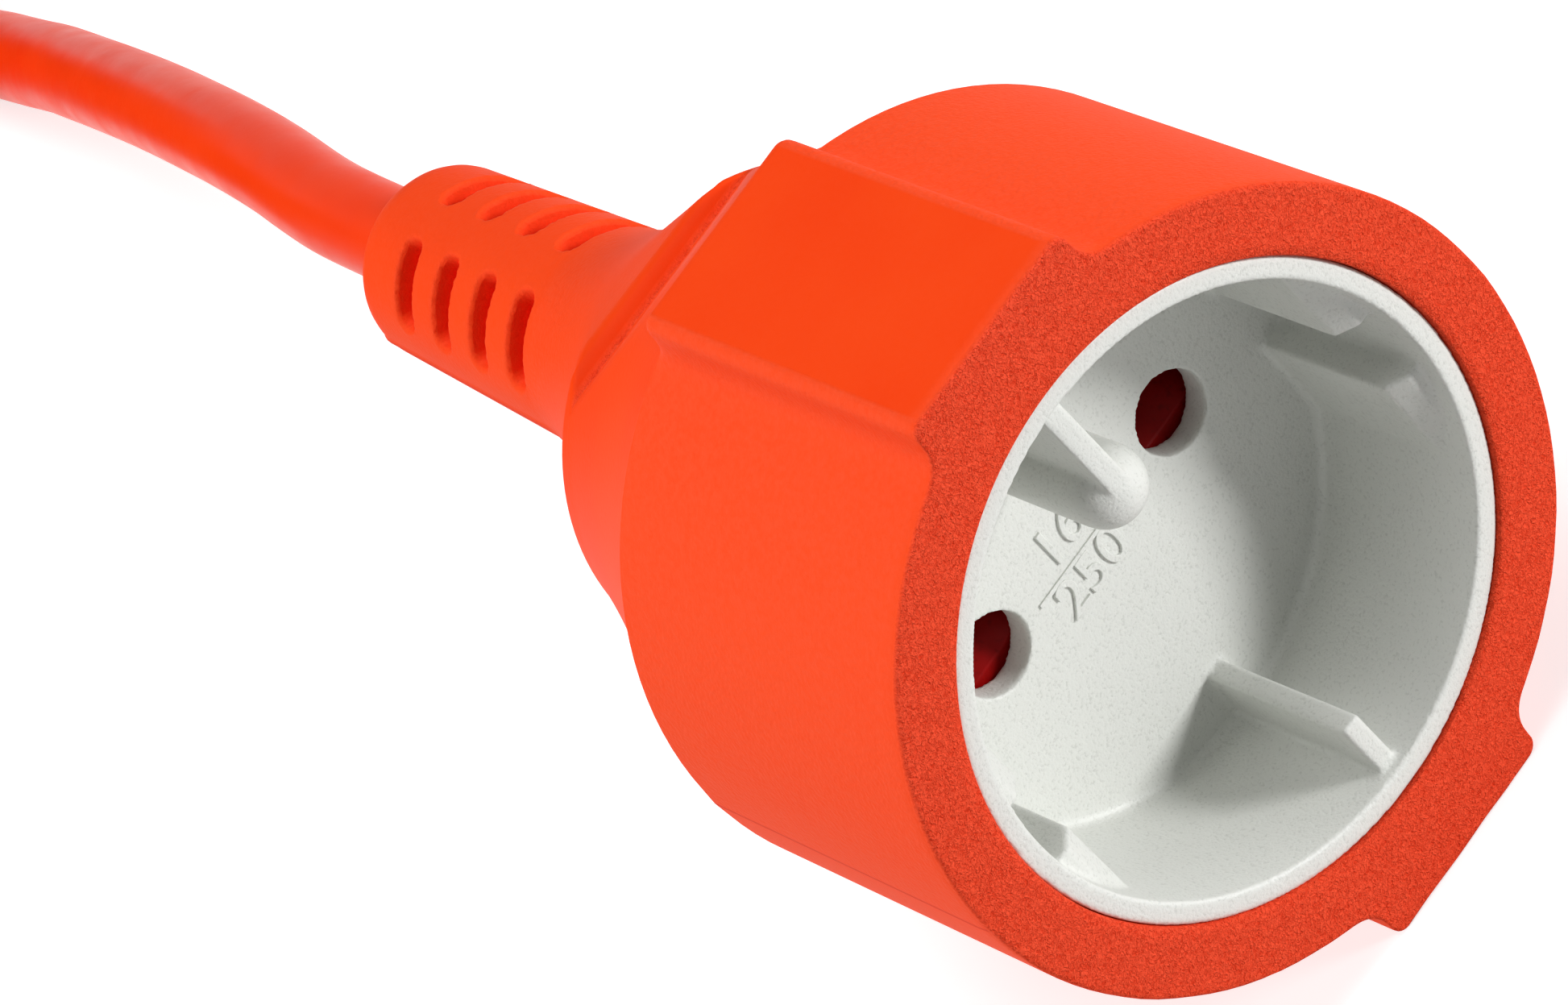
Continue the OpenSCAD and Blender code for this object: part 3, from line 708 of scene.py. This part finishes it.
    def reach(self, angle: float, depth: float, padded: bool, cut: bool) -> float:
        """Distance from the axis to the skin along an angle from the pad's middle."""
        if depth > self.flare_depth - self.flare_l / 2:
            return self.round_r(depth)
        low, high = 0.5 * self.collar_r, 1.2 * self.pad_top
        for _ in range(20):
            middle = (low + high) / 2
            y, z = middle * math.sin(angle), middle * math.cos(angle)
            if self.outside(y, z, depth, padded, cut) < 0:
                low = middle
            else:
                high = middle
        return low

    def turn(self, depth: float, padded: bool = False, cut: bool = False) -> Outline:
        """Angle and reach of every point of a whole section, which mirrors its quarter."""
        quarter = [(a, self.reach(a, depth, padded, cut)) for a in self.quarter(depth, padded, cut)]
        back = [(math.pi - a, r) for a, r in reversed(quarter[:-1])]
        half = quarter + back
        return half + [(2 * math.pi - a, r) for a, r in reversed(half[1:-1])]

    def slot_distance(self, angle: float, depth: float) -> tuple[float, float, float]:
        """Distance to the rim of the nearest slot, and its slope along depth and round the axis."""
        row = round((depth - self.flare_depth - self.slot_set) / self.slot_pitch)
        row = min(self.slot_rows - 1, max(0, row))
        along = depth - (self.flare_depth + self.slot_set + row * self.slot_pitch)
        turn = math.degrees(math.acos(abs(math.cos(angle))))
        flip = 1 if math.sin(angle) * math.cos(angle) > 0 else -1
        radius = self.round_r(min(depth, self.length - self.end_round))
        short = math.radians(self.slot_from_deg - turn) * radius
        long = math.radians(turn - self.slot_to_deg) * radius
        beyond = long if long > 0 else (-short if short > 0 else 0.0)
        gap = math.hypot(beyond, along) or 1e-9
        return gap - self.slot_half, along / gap, flip * beyond / gap

    def slot_drop(self, gap: float) -> float:
        """How far the skin drops at a distance from a slot's rim."""
        lip = self.slot_lip
        if gap >= lip:
            return 0.0
        if gap >= 0:
            return lip - math.sqrt(max(0.0, lip**2 - (lip - gap) ** 2))
        return lip + (self.slot_depth - lip) * eased(-gap / self.slot_wall)

    def ridge(self, angle: float) -> float:
        """Height of the parting line's ridge on both sides."""
        across = abs(math.cos(angle)) * self.relief_r
        return self.ridge_h * max(0.0, 1 - across / self.ridge_w)

    def mouth_rings(self, skin: Skin) -> None:
        """Draw the grained ring round the mouth and the crisp front edge."""
        outline = self.turn(0.4, padded=True)
        for share in (0.0, 0.03, 0.2, 0.4, 0.6, 0.8, 0.95):
            depth = 0.12 if share == 0 else 0.0
            spots = []
            for angle, reach in outline:
                radius = self.mouth_r + (reach - self.edge_w - self.mouth_r) * share
                spots.append((self.place(depth, angle, radius), (1.0, 0.3, 0.0)))
            skin.carry(spots)
        edge = ((0.0, 0.3, 1.0), (0.05, 0.14, 1.0), (0.16, 0.04, 0.5), (self.edge_l, 0, 0.0))
        for depth, inset, coarse in edge:
            spots = []
            for angle, reach in outline:
                spot = Vector((math.cos(angle), math.sin(angle), depth)) * 9.0
                flake = self.flake_h * noise.noise(spot) * (1 - depth / self.edge_l)
                place = self.place(depth - 0.5 * max(0.0, flake), angle, reach - inset + flake)
                spots.append((place, (coarse, 0.8, 0.0)))
            skin.carry(spots)

    def place(self, depth: float, angle: float, radius: float) -> Vector:
        """Point of the skin in metres, with the strain relief bent a little to one side.

        Args:
            depth: depth behind the front face.
            angle: angle from the middle of the upper pad.
            radius: distance from the axis.

        Returns:
            The point.
        """
        across, up = radius * math.sin(angle), radius * math.cos(angle)
        tilt = math.radians(self.tilt_deg)
        into = depth - (self.tilt_depth - self.tilt_run)
        share = min(1.0, max(0.0, into / (2 * self.tilt_run)))
        shift = math.tan(tilt) * (self.tilt_run * share**2 + max(0.0, into - 2 * self.tilt_run))
        turned = tilt * share
        return self.axis.at(
            depth - across * math.sin(turned), shift + across * math.cos(turned), up
        )

    def plain_rings(
        self, skin: Skin, depths: Sequence[float], padded: bool, cut: bool, fine: float
    ) -> None:
        """Draw sections that only follow the outline, with less fine grain and less painted sheen
        on top of the pads.
        """
        for depth in depths:
            spots = []
            for angle, reach in self.turn(depth, padded, cut):
                across = abs(reach * math.sin(angle))
                on_pad = padded and across < self.pad_half - self.pad_edge_r
                place = self.place(depth, angle, reach + self.ridge(angle) * 0.5)
                spots.append((place, (0.0, 0.2 if on_pad else fine, 0.0)))
            skin.carry(spots)

    def crease_rings(self, skin: Skin) -> None:
        """Draw the grainy crease at the end of the sloped flats, and the ramp behind it."""
        crease = (-0.5, -0.3, -0.2, -0.1, 0.0, 0.1, 0.2, 0.35, 0.6)
        crest = (-0.1, 0.0, 0.12, 0.3, 0.6)
        depths = [self.crease_depth + o for o in crease] + [self.collar_depth + o for o in crest]
        for depth in depths:
            near = max(0.0, 1 - abs(depth - self.crease_depth) / self.crease_w)
            fine = 0.15 if depth > self.crease_depth else 0.3
            spots = []
            for angle, reach in self.turn(depth, cut=True):
                within = math.degrees(self.corner(depth) - math.acos(abs(math.cos(angle))))
                rough = near * eased(within / 3 + 0.5)
                spot = Vector((depth * 0.8, math.sin(angle) * 9, math.cos(angle) * 9)) * 2
                rise = (self.crease_h + self.crease_tear * noise.noise(spot)) * rough
                place = self.place(depth, angle, reach + rise)
                spots.append((place, (0.6 * rough, fine + 0.5 * rough, 0.0)))
            skin.carry(spots)

    def relief_depths(self) -> list[float]:
        """Depths of the sections of the strain relief, closer together at the slots' rims."""
        offsets = (1.5, 1.25, 1.1, 1.0, 0.9, 0.8, 0.66, 0.4, 0.13)
        around = [-o for o in offsets] + list(reversed(offsets))
        depths = []
        for row in range(self.slot_rows):
            middle = self.flare_depth + self.slot_set + row * self.slot_pitch
            depths += [middle + o for o in around]
            if row < self.slot_rows - 1:
                depths += [middle + self.slot_pitch / 2 + o for o in (-0.55, 0.0, 0.55)]
        end = self.length - self.end_round
        depths += spaced(depths[-1] + 0.6, end, 6) + [end]
        return depths + [end + self.end_round * math.sin(k * math.pi / 16) for k in range(1, 9)]

    def relief_rings(self, skin: Skin) -> None:
        """Draw the strain relief and cut its slots into it."""
        for depth in self.relief_depths():
            spots = []
            for angle, reach in self.turn(depth):
                gap, along, round_axis = self.slot_distance(angle, depth)
                snapped, turned = depth, angle
                if abs(gap) < self.slot_snap:
                    snapped = depth - gap * along
                    turned = angle - gap * round_axis / reach
                    gap = 0.0
                drop = self.slot_drop(gap)
                frayed = max(0.0, 1 - abs(gap - self.fray_set) / self.fray_w)
                torn = noise.noise(Vector((depth, reach * turned, 0)) * 2.6)
                radius = reach - drop + self.ridge(angle) + self.fray_h * torn * frayed
                place = self.place(snapped, turned, radius)
                # The third value is painted shade, which grows as the skin drops into a slot
                spots.append((place, (0.2 * frayed, 0.5, eased(drop / self.shade_depth))))
            skin.carry(spots)

    def bore_rings(self, skin: Skin) -> None:
        """Draw the room inside, from the cord's bore forwards to the insert's seat."""
        end, bore = self.length, self.bore_r
        inside = ((end, bore + 0.25), (end - 0.25, bore), (60.0, bore), (54.0, 6.5), (46.0, 11.0))
        inside += ((38.4, 15.05), (24.45, 15.05), (24.45, 21.1))
        for depth, radius in inside:
            turn = self.turn(min(depth, self.barrel_l), padded=depth < self.barrel_l)
            # Painted shade inside the bore
            skin.carry([(self.place(depth, angle, radius), (0.0, 0.4, 0.3)) for angle, _ in turn])

    def build(self, finish: Material) -> Object:
        """Build the over-moulding."""
        skin = Skin(GRAIN_AND_PAINTED_LIGHT)
        self.mouth_rings(skin)
        rim, corner = self.barrel_l, self.barrel_l - self.pad_corner_r
        rear = (0.0, 0.3, 0.55, 0.75, 0.9, 1.05, 1.2, 1.32, 1.42, 1.5)
        pads = spaced(1.2, corner, 12) + [corner + o for o in rear]
        self.plain_rings(skin, pads, True, False, 1.0)
        shoulder = [rim + o for o in (0.02, 0.15, 0.5)]
        shoulder += spaced(rim + 1.2, self.crease_depth - 0.6, 22)
        self.plain_rings(skin, shoulder, False, True, 0.25)
        self.crease_rings(skin)
        flare = spaced(self.collar_depth + 0.9, self.flare_depth - 0.85, 24)
        self.plain_rings(skin, flare, False, True, 0.7)
        self.relief_rings(skin)
        self.bore_rings(skin)
        skin.close()
        mesh = mesh_from(skin.work, "socket_shell")
        return show("socket_shell", mesh, finish, ["socket_body"], 50)


@dataclass
class SocketInsert:
    """Off-white insert with its ring, recess, post, rib, guide blocks and floor numerals."""

    axis: Axis
    floor_depth: float = 15.1
    voxel_mm: float = 0.2
    kept: float = 0.38
    numeral_size: float = 3.05 * 1.35
    numeral_relief: float = 0.16
    numeral_inset: float = 0.03
    numeral_edge: float = 0.06
    rows: tuple[tuple[str, float, float], ...] = (("16", -1.25, 0.2), ("250", -1.3, -3.6))
    bar: tuple[float, float] = (8.9, 0.3)
    bar_at: tuple[float, float] = (-0.85, -0.65)

    def numerals(self, finish: Material) -> Object:
        """Build the thin raised numerals on the floor: two rows with a line between them."""
        upright = Matrix(((0, 0, 1, 0), (1, 0, 0, 0), (0, 1, 0, 0), (0, 0, 0, 1)))
        work = bmesh.new()
        for words, across, up in self.rows:
            curve = bpy.data.curves.new("numerals", "FONT")
            curve.body, curve.align_x = words, "CENTER"
            curve.size = self.numeral_size * MM
            curve.extrude = self.numeral_relief * MM
            curve.offset = -self.numeral_inset * MM
            curve.bevel_depth = self.numeral_edge * MM
            drawn = worked_out(placed("numerals", curve))
            place = Matrix.Translation(self.axis.at(self.floor_depth, across, up))
            drawn.transform(place @ upright)
            work.from_mesh(drawn)
            bpy.data.meshes.remove(drawn)
        bar = bmesh.ops.create_cube(work, size=1.0)["verts"]
        size = Vector((2 * self.numeral_relief, *self.bar)) * MM
        bmesh.ops.scale(work, verts=bar, vec=size)
        bmesh.ops.translate(work, verts=bar, vec=self.axis.at(self.floor_depth, *self.bar_at))
        return show("floor_numerals", poured(work, "floor_numerals"), finish)

    def build(self, finish: Material) -> None:
        """Build the insert and its numerals."""
        mesh = softened("socket_insert", self.voxel_mm, 2, self.kept)
        show("insert_moulding", mesh, finish, ["socket_insert"], 60)
        self.numerals(finish)


@dataclass
class Shutter:
    """One child-safety leaf with its springs. Its sloped edge meets the other leaf's."""

    axis: Axis
    half: Half
    front: float = 17.5
    thickness: float = 2.8
    width: float = 26.8
    height: float = 5.4
    slope: float = 2.0
    parting: float = 0.05
    edge: float = 0.14
    travel: float = 2.6
    spring_pressed: float = 4.5
    spring_fit: float = 0.05

    def springs(self, finish: Material) -> Object:
        """Build the leaf's two return springs."""
        half = self.half.name.lower()
        node = "shutter_springs_" + half
        mesh = mesh_from(copied(node), node + "_coils")
        piece = show(node + "_wire", mesh, finish, [node])
        room = self.spring_pressed + self.travel
        seat = self.axis.at(self.front, 0, self.half.value * (self.height + room))
        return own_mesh(piece)

    def build(self, finish: Material) -> Object:
        """Build the leaf from its profile."""
        name = "shutter_" + self.half.name.lower()
        back = self.front + self.thickness
        profile = (
            (self.front, self.parting + self.slope),
            (self.front, self.height),
            (back, self.height),
            (back, self.parting),
            (self.front + self.slope, self.parting),
        )
        work = bmesh.new()
        side = [
            work.verts.new(self.axis.at(depth, -self.width / 2, self.half.value * up))
            for depth, up in profile
        ]
        face = work.faces.new(side)
        grown = bmesh.ops.extrude_face_region(work, geom=[face])["geom"]
        moved = [v for v in grown if isinstance(v, BMVert)]
        bmesh.ops.translate(work, verts=moved, vec=Vector((0, self.width * MM, 0)))
        bevel(work, list(work.edges), self.edge)
        body = Body.LEAF_UPPER if self.half is Half.UPPER else Body.LEAF_LOWER
        mesh = mesh_from(work, name)
        return show(name + "_leaf", mesh, finish, [name], 35, body)


@dataclass
class FreeCord:
    """The whole cord from the socket to the plug, wound into a coil for storage.

    Its lead and its tail are points in metres, which are the solid cord's to 0.01 mm.
    """

    diameter: float = 6.8
    length: float = 3000.0
    centre: Place = (-184.284, -23.6865, 4.45)
    middle_r: float = 36.4241
    pitch: float = 7.3
    layers: int = 6
    layer_loops: int = 2
    loop_points: int = 24
    climb_turns: float = 0.5
    lead: tuple[Place, ...] = (
        (-0.04448, 0.00115, 0.0277), (-0.04748, 0.00127, 0.0277), (-0.05148, 0.00141, 0.02758),
        (-0.05548, 0.0016, 0.0274), (-0.05848, 0.00185, 0.02717), (-0.06148, 0.00224, 0.02689),
        (-0.06748, 0.00319, 0.02607), (-0.07548, 0.00426, 0.02468), (-0.08448, 0.00534, 0.02259),
        (-0.09448, 0.00654, 0.0198), (-0.10448, 0.00764, 0.01677), (-0.11348, 0.00864, 0.01375),
        (-0.12148, 0.00944, 0.01119), (-0.12848, 0.00994, 0.00887), (-0.13598, 0.01034, 0.00678),
        (-0.14148, 0.01059, 0.00526), (-0.14648, 0.01124, 0.00433), (-0.15198, 0.01274, 0.00398),
        (-0.15748, 0.01494, 0.00403), (-0.16298, 0.01734, 0.00422), (-0.16848, 0.01914, 0.00438),
        (-0.17348, 0.01994, 0.00445), (-0.17748, 0.02004, 0.00445),
    )
    tail: tuple[Place, ...] = (
        (-0.19108, 0.02004, 0.04095), (-0.19408, 0.02004, 0.04095), (-0.20058, 0.01874, 0.04178),
        (-0.20758, 0.01564, 0.04327), (-0.21458, 0.01054, 0.04543), (-0.22058, 0.00354, 0.04792),
        (-0.22438, -0.00446, 0.05008), (-0.22568, -0.01296, 0.05207), (-0.22408, -0.02146, 0.0539),
        (-0.21958, -0.02896, 0.05539), (-0.21258, -0.03476, 0.05655), (-0.20508, -0.03776, 0.05722),
        (-0.19808, -0.03856, 0.05755), (-0.19208, -0.03856, 0.05755),
    )

    def winding(self, turn: float) -> Vector:
        """Point of the coil after a number of turns: out and in again, one layer each way."""
        layer = turn / self.layer_loops
        out = abs((layer % 2) - 1)
        radius = self.middle_r + (out - 0.5) * self.layer_loops * self.pitch
        climbs = sum(
            eased((turn - n * self.layer_loops) / self.climb_turns + 0.5)
            for n in range(1, self.layers)
        )
        angle = math.radians(90) + 2 * math.pi * turn
        step = Vector((radius * math.cos(angle), radius * math.sin(angle), climbs * self.pitch))
        return (Vector(self.centre) + step) * MM

    def route(self) -> list[Vector]:
        """Every point that the cord passes through, from the socket to the plug."""
        turns = self.layers * self.layer_loops
        coil = [self.winding(k / self.loop_points) for k in range(turns * self.loop_points + 1)]
        return [Vector(p) for p in self.lead] + coil + [Vector(p) for p in self.tail]

    def build(self, finish: Material) -> Object:
        """Build the cord as one open curve of its real diameter."""
        curve = bpy.data.curves.new("free_cord", "CURVE")
        curve.dimensions = "3D"
        curve.bevel_depth = self.diameter / 2 * MM
        curve.bevel_resolution = 10
        curve.resolution_u = 4
        curve.use_fill_caps = True
        spline = curve.splines.new("BEZIER")
        points = self.route()
        spline.bezier_points.add(len(points) - 1)
        for knot, place in zip(spline.bezier_points, points):
            knot.co = place
            knot.handle_left_type = knot.handle_right_type = "AUTO"
        curve.materials.append(finish)
        piece = placed("free_cord", curve)
        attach(piece, Body.CORD_SET.value)
        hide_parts("cord_lead", "cord_coil", "cord_tail")
        LOG.info("free_cord: %d points", len(points))
        return piece


@dataclass
class CoilTie:
    """Hook-and-loop strap round the bundle of loops, lapped on top."""

    thickness: float = 0.8
    edge: float = 0.3
    corner_r: float = 3.4
    tab_l: float = 17.0
    tab_lift: float = 0.27
    lap_gap: float = 0.1
    ramp_l: float = 3.4
    ramp_set: float = 4.0

    def path(self, low: Vector, high: Vector, top: float) -> list[tuple[Vector, Vector]]:
        """Middle line of the strap round the bundle, with the direction outwards at each step.

        Args:
            low: lowest corner of the strap's box, in metres.
            high: highest corner.
            top: height of the strap's loop without its lapped end.

        Returns:
            Places and outward directions, from the bundle's top round to it again.
        """
        sunk = self.thickness / 2 * MM
        x0, x1, z0, z1 = low.x + sunk, high.x - sunk, low.z + sunk, top - sunk
        middle = (x0 + x1) / 2
        radius = self.corner_r * MM
        start = middle - self.tab_l / 2 * MM
        steps = [(Vector((x, 0, z1)), Vector((0, 0, 1))) for x in spaced(start, x1 - radius, 8)]
        corners = ((x1 - radius, z1 - radius, 90), (x1 - radius, z0 + radius, 0))
        corners += ((x0 + radius, z0 + radius, -90), (x0 + radius, z1 - radius, -180))
        for x, z, first in corners:
            for k in range(7):
                angle = math.radians(first - 15 * k)
                out = Vector((math.cos(angle), 0, math.sin(angle)))
                steps.append((Vector((x, 0, z)) + out * radius, out))
        lapped = self.thickness + self.lap_gap
        ramp = middle - (self.tab_l / 2 + self.ramp_set) * MM
        end = middle + self.tab_l / 2 * MM
        for k in range(15):
            x = ramp + (end - ramp) * k / 14
            rise = lapped * eased((x - ramp) / (self.ramp_l * MM))
            rise += self.tab_lift * max(0.0, (k - 11) / 3) ** 2
            steps.append((Vector((x, 0, z1 + rise * MM)), Vector((0, 0, 1))))
        return steps

    def build(self, finish: Material) -> Object:
        """Build the strap by carrying its flat section round the bundle."""
        low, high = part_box("coil_tie")
        across = (low.y + high.y) / 2
        half_w, half_t, edge = (high.y - low.y) / 2, self.thickness / 2 * MM, self.edge * MM
        section = []
        for side_y, side_t, first in ((1, 1, 0), (-1, 1, 90), (-1, -1, 180), (1, -1, 270)):
            for k in range(4):
                angle = math.radians(first + 30 * k)
                y = side_y * (half_w - edge) + edge * math.cos(angle)
                section.append((y, side_t * (half_t - edge) + edge * math.sin(angle)))
        skin = Skin()
        for place, out in self.path(low, high, high.z - self.thickness * MM):
            skin.carry([(Vector((0, across + y, 0)) + place + out * t, ()) for y, t in section])
        skin.cap()
        mesh = mesh_from(skin.work, "tie_strap")
        return show("tie_strap", mesh, finish, ["coil_tie"], 50)


@dataclass
class Plug:
    """Moulded plug on the cord's far end."""

    voxel_mm: float = 0.42
    edge_mm: float = 0.35

    def body(self, finish: Material) -> Object:
        """Build the soft over-moulding with rounded edges."""
        mesh = softened("plug_body", self.voxel_mm, 3)
        for name, value in zip(GRAIN_AND_PAINTED_LIGHT, (0.0, 1.0, 0.0)):
            layer = mesh.attributes.new(name, "FLOAT", "POINT")
            layer.data.foreach_set("value", [value] * len(mesh.vertices))
        return show("plug_shell", mesh, finish, ["plug_body"], 60)

    def bridge(self, finish: Material) -> Object:
        """Build the hard bridge that holds the pins, with bevelled edges."""
        work = copied("plug_bridge")
        bmesh.ops.dissolve_limit(work, angle_limit=0.01, verts=work.verts, edges=work.edges)
        bevel(work, [e for e in work.edges if e.calc_face_angle(0) > 1.2], self.edge_mm)
        mesh = mesh_from(work, "bridge_block")
        return show("bridge_block", mesh, finish, ["plug_bridge"])


def dress(node: str, finish: Material) -> Object:
    """Give a node that keeps its own shape its finish.

    Args:
        node: the node's name.
        finish: its material.

    Returns:
        The node's object.
    """
    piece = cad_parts[node]
    if not piece.material_slots:
        piece.data.materials.append(finish)
    for place in piece.material_slots:
        place.link = "OBJECT"
        place.material = finish
    LOG.info("%s: dressed", node)
    return piece


# Studio -----------------------------------------------------------------------------------------


@dataclass(frozen=True)
class Lamp:
    """Soft square lamp that looks at the socket."""

    name: str
    place: Place
    size: float
    power: float

    def build(self, target: Vector) -> None:
        """Hang the lamp."""
        light = bpy.data.lights.new(self.name, "AREA")
        light.size, light.energy = self.size, self.power
        lamp = placed(self.name, light)
        lamp.location = self.place
        lamp.rotation_mode = "QUATERNION"
        lamp.rotation_quaternion = (target - Vector(self.place)).to_track_quat("-Z", "Y")


@dataclass
class Studio:
    """Pale floor, soft lamps, white surroundings and the camera."""

    target: Place = (0.0268, -0.0115, 0.0461)
    distance: float = 0.55
    azimuth_deg: float = -14.0
    elevation_deg: float = 37.2
    roll_deg: float = -45.0
    lens: float = 207.7
    sensor: float = 36.0
    sky: float = 0.07
    floor_half: float = 2.5
    floor_grey: float = 0.6
    floor_glow: float = 0.68
    lamps: tuple[Lamp, ...] = (
        Lamp("overhead", (0.02, 0.0, 0.75), 0.5, 4.1),
        Lamp("side", (-0.20, -0.75, 0.30), 0.45, 3.8),
        Lamp("front", (0.60, 0.47, 0.12), 0.18, 4.8),
    )

    def camera(self) -> None:
        """Set the camera up, rolled on its side as the socket is seen."""
        azimuth, elevation = math.radians(self.azimuth_deg), math.radians(self.elevation_deg)
        level = math.cos(elevation)
        x, y, z = level * math.cos(azimuth), level * math.sin(azimuth), math.sin(elevation)
        towards = Vector((x, y, z))
        camera = placed("camera", bpy.data.cameras.new("camera"))
        camera.data.lens, camera.data.sensor_width = self.lens, self.sensor
        camera.data.clip_start, camera.data.clip_end = 0.01, 20.0
        camera.location = Vector(self.target) + towards * self.distance
        camera.rotation_mode = "QUATERNION"
        rolled = Matrix.Rotation(math.radians(self.roll_deg), 3, "Z").to_quaternion()
        camera.rotation_quaternion = (-towards).to_track_quat("-Z", "Y") @ rolled
        bpy.context.scene.camera = camera

    def surroundings(self) -> None:
        """Make what surrounds the object white to the eye and a soft light to the object."""
        tree = Tree("surroundings", world=True, Color=(1, 1, 1, 1))
        strength = tree.spread(tree.seen(), 0.0, 1.0, self.sky, 1.0)
        bpy.context.scene.world = tree.finished(Strength=strength)

    def floor(self) -> None:
        """Lay a pale floor that looks white where no shadow falls."""
        grey = (self.floor_grey,) * 3
        tree = Tree("pale_floor", Base_Color=(*grey, 1.0), Roughness=0.9)
        glow = tree.maths("MULTIPLY", tree.seen(), self.floor_glow)
        work = bmesh.new()
        bmesh.ops.create_grid(work, x_segments=1, y_segments=1, size=self.floor_half)
        plane = placed("floor", poured(work, "floor"))
        white = (1, 1, 1, 1)
        plane.data.materials.append(tree.finished(Emission_Color=white, Emission_Strength=glow))

    def build(self) -> None:
        """Build the whole studio, camera first."""
        self.camera()
        self.surroundings()
        self.floor()
        for lamp in self.lamps:
            lamp.build(Vector(self.target))
        bpy.context.scene.view_settings.view_transform = "Standard"


def main() -> None:
    """Build the studio, the cord and then every piece of the socket and plug."""
    logging.basicConfig(level=logging.INFO, format="%(name)s: %(message)s")
    Studio().build()

    pvc = MouldedPvc().material()
    sheath = SheathPvc("cord_sheath_pvc", (0.83, 0.040, 0.003), (0.87, 0.050, 0.005)).material()
    brown = SheathPvc("core_brown_pvc", (0.10, 0.035, 0.015), (0.13, 0.045, 0.02)).material()
    blue = SheathPvc("core_blue_pvc", (0.02, 0.09, 0.42), (0.03, 0.11, 0.5)).material()
    pale, speck = (0.70, 0.71, 0.675), (0.60, 0.61, 0.575)
    off_white = HardPlastic("off_white_plastic", pale, speck).material()
    dark_red = HardPlastic(
        "dark_red_plastic", (0.26, 0.002, 0.002), (0.20, 0.001, 0.001), 0.35, 0.5, 0.01, 0.1
    ).material()
    grey = HardPlastic("grey_plastic", (0.09, 0.10, 0.11), (0.07, 0.08, 0.09), 0.45).material()
    brass = Metal("contact_brass", (0.80, 0.58, 0.26), (0.62, 0.42, 0.18)).material()
    nickel = Metal("plated_nickel", (0.72, 0.70, 0.66), (0.60, 0.58, 0.54)).material()
    copper = Metal("bare_copper", (0.82, 0.42, 0.24), (0.62, 0.30, 0.16), 0.3).material()
    steel = Metal("spring_steel", (0.60, 0.60, 0.60), (0.45, 0.45, 0.46), 0.3).material()
    strap = WovenStrap().material()

    cord = FreeCord()
    cord_piece = cord.build(sheath)
    axis = socket_axis()
    SocketBody(axis).build(pvc)
    SocketInsert(axis).build(off_white)
    for half in Half:
        shutter = Shutter(axis, half)
        shutter.build(dark_red)
        shutter.springs(steel)
    dress("contact_carrier", grey)
    dress("contact_line", brass)
    dress("contact_neutral", brass)

    plug = Plug()
    on_cord = [CoilTie().build(strap), plug.body(pvc), plug.bridge(grey)]
    on_cord += [dress("plug_pin_" + side, nickel) for side in ("line", "neutral")]
    wires = {"wire_ends": copper, "core_line": brown, "core_neutral": blue, "cord_end": sheath}
    for node, finish in wires.items():
        dress("socket_" + node, finish)
        on_cord.append(dress("plug_" + node, finish))


if __name__ == "__main__":
    main()
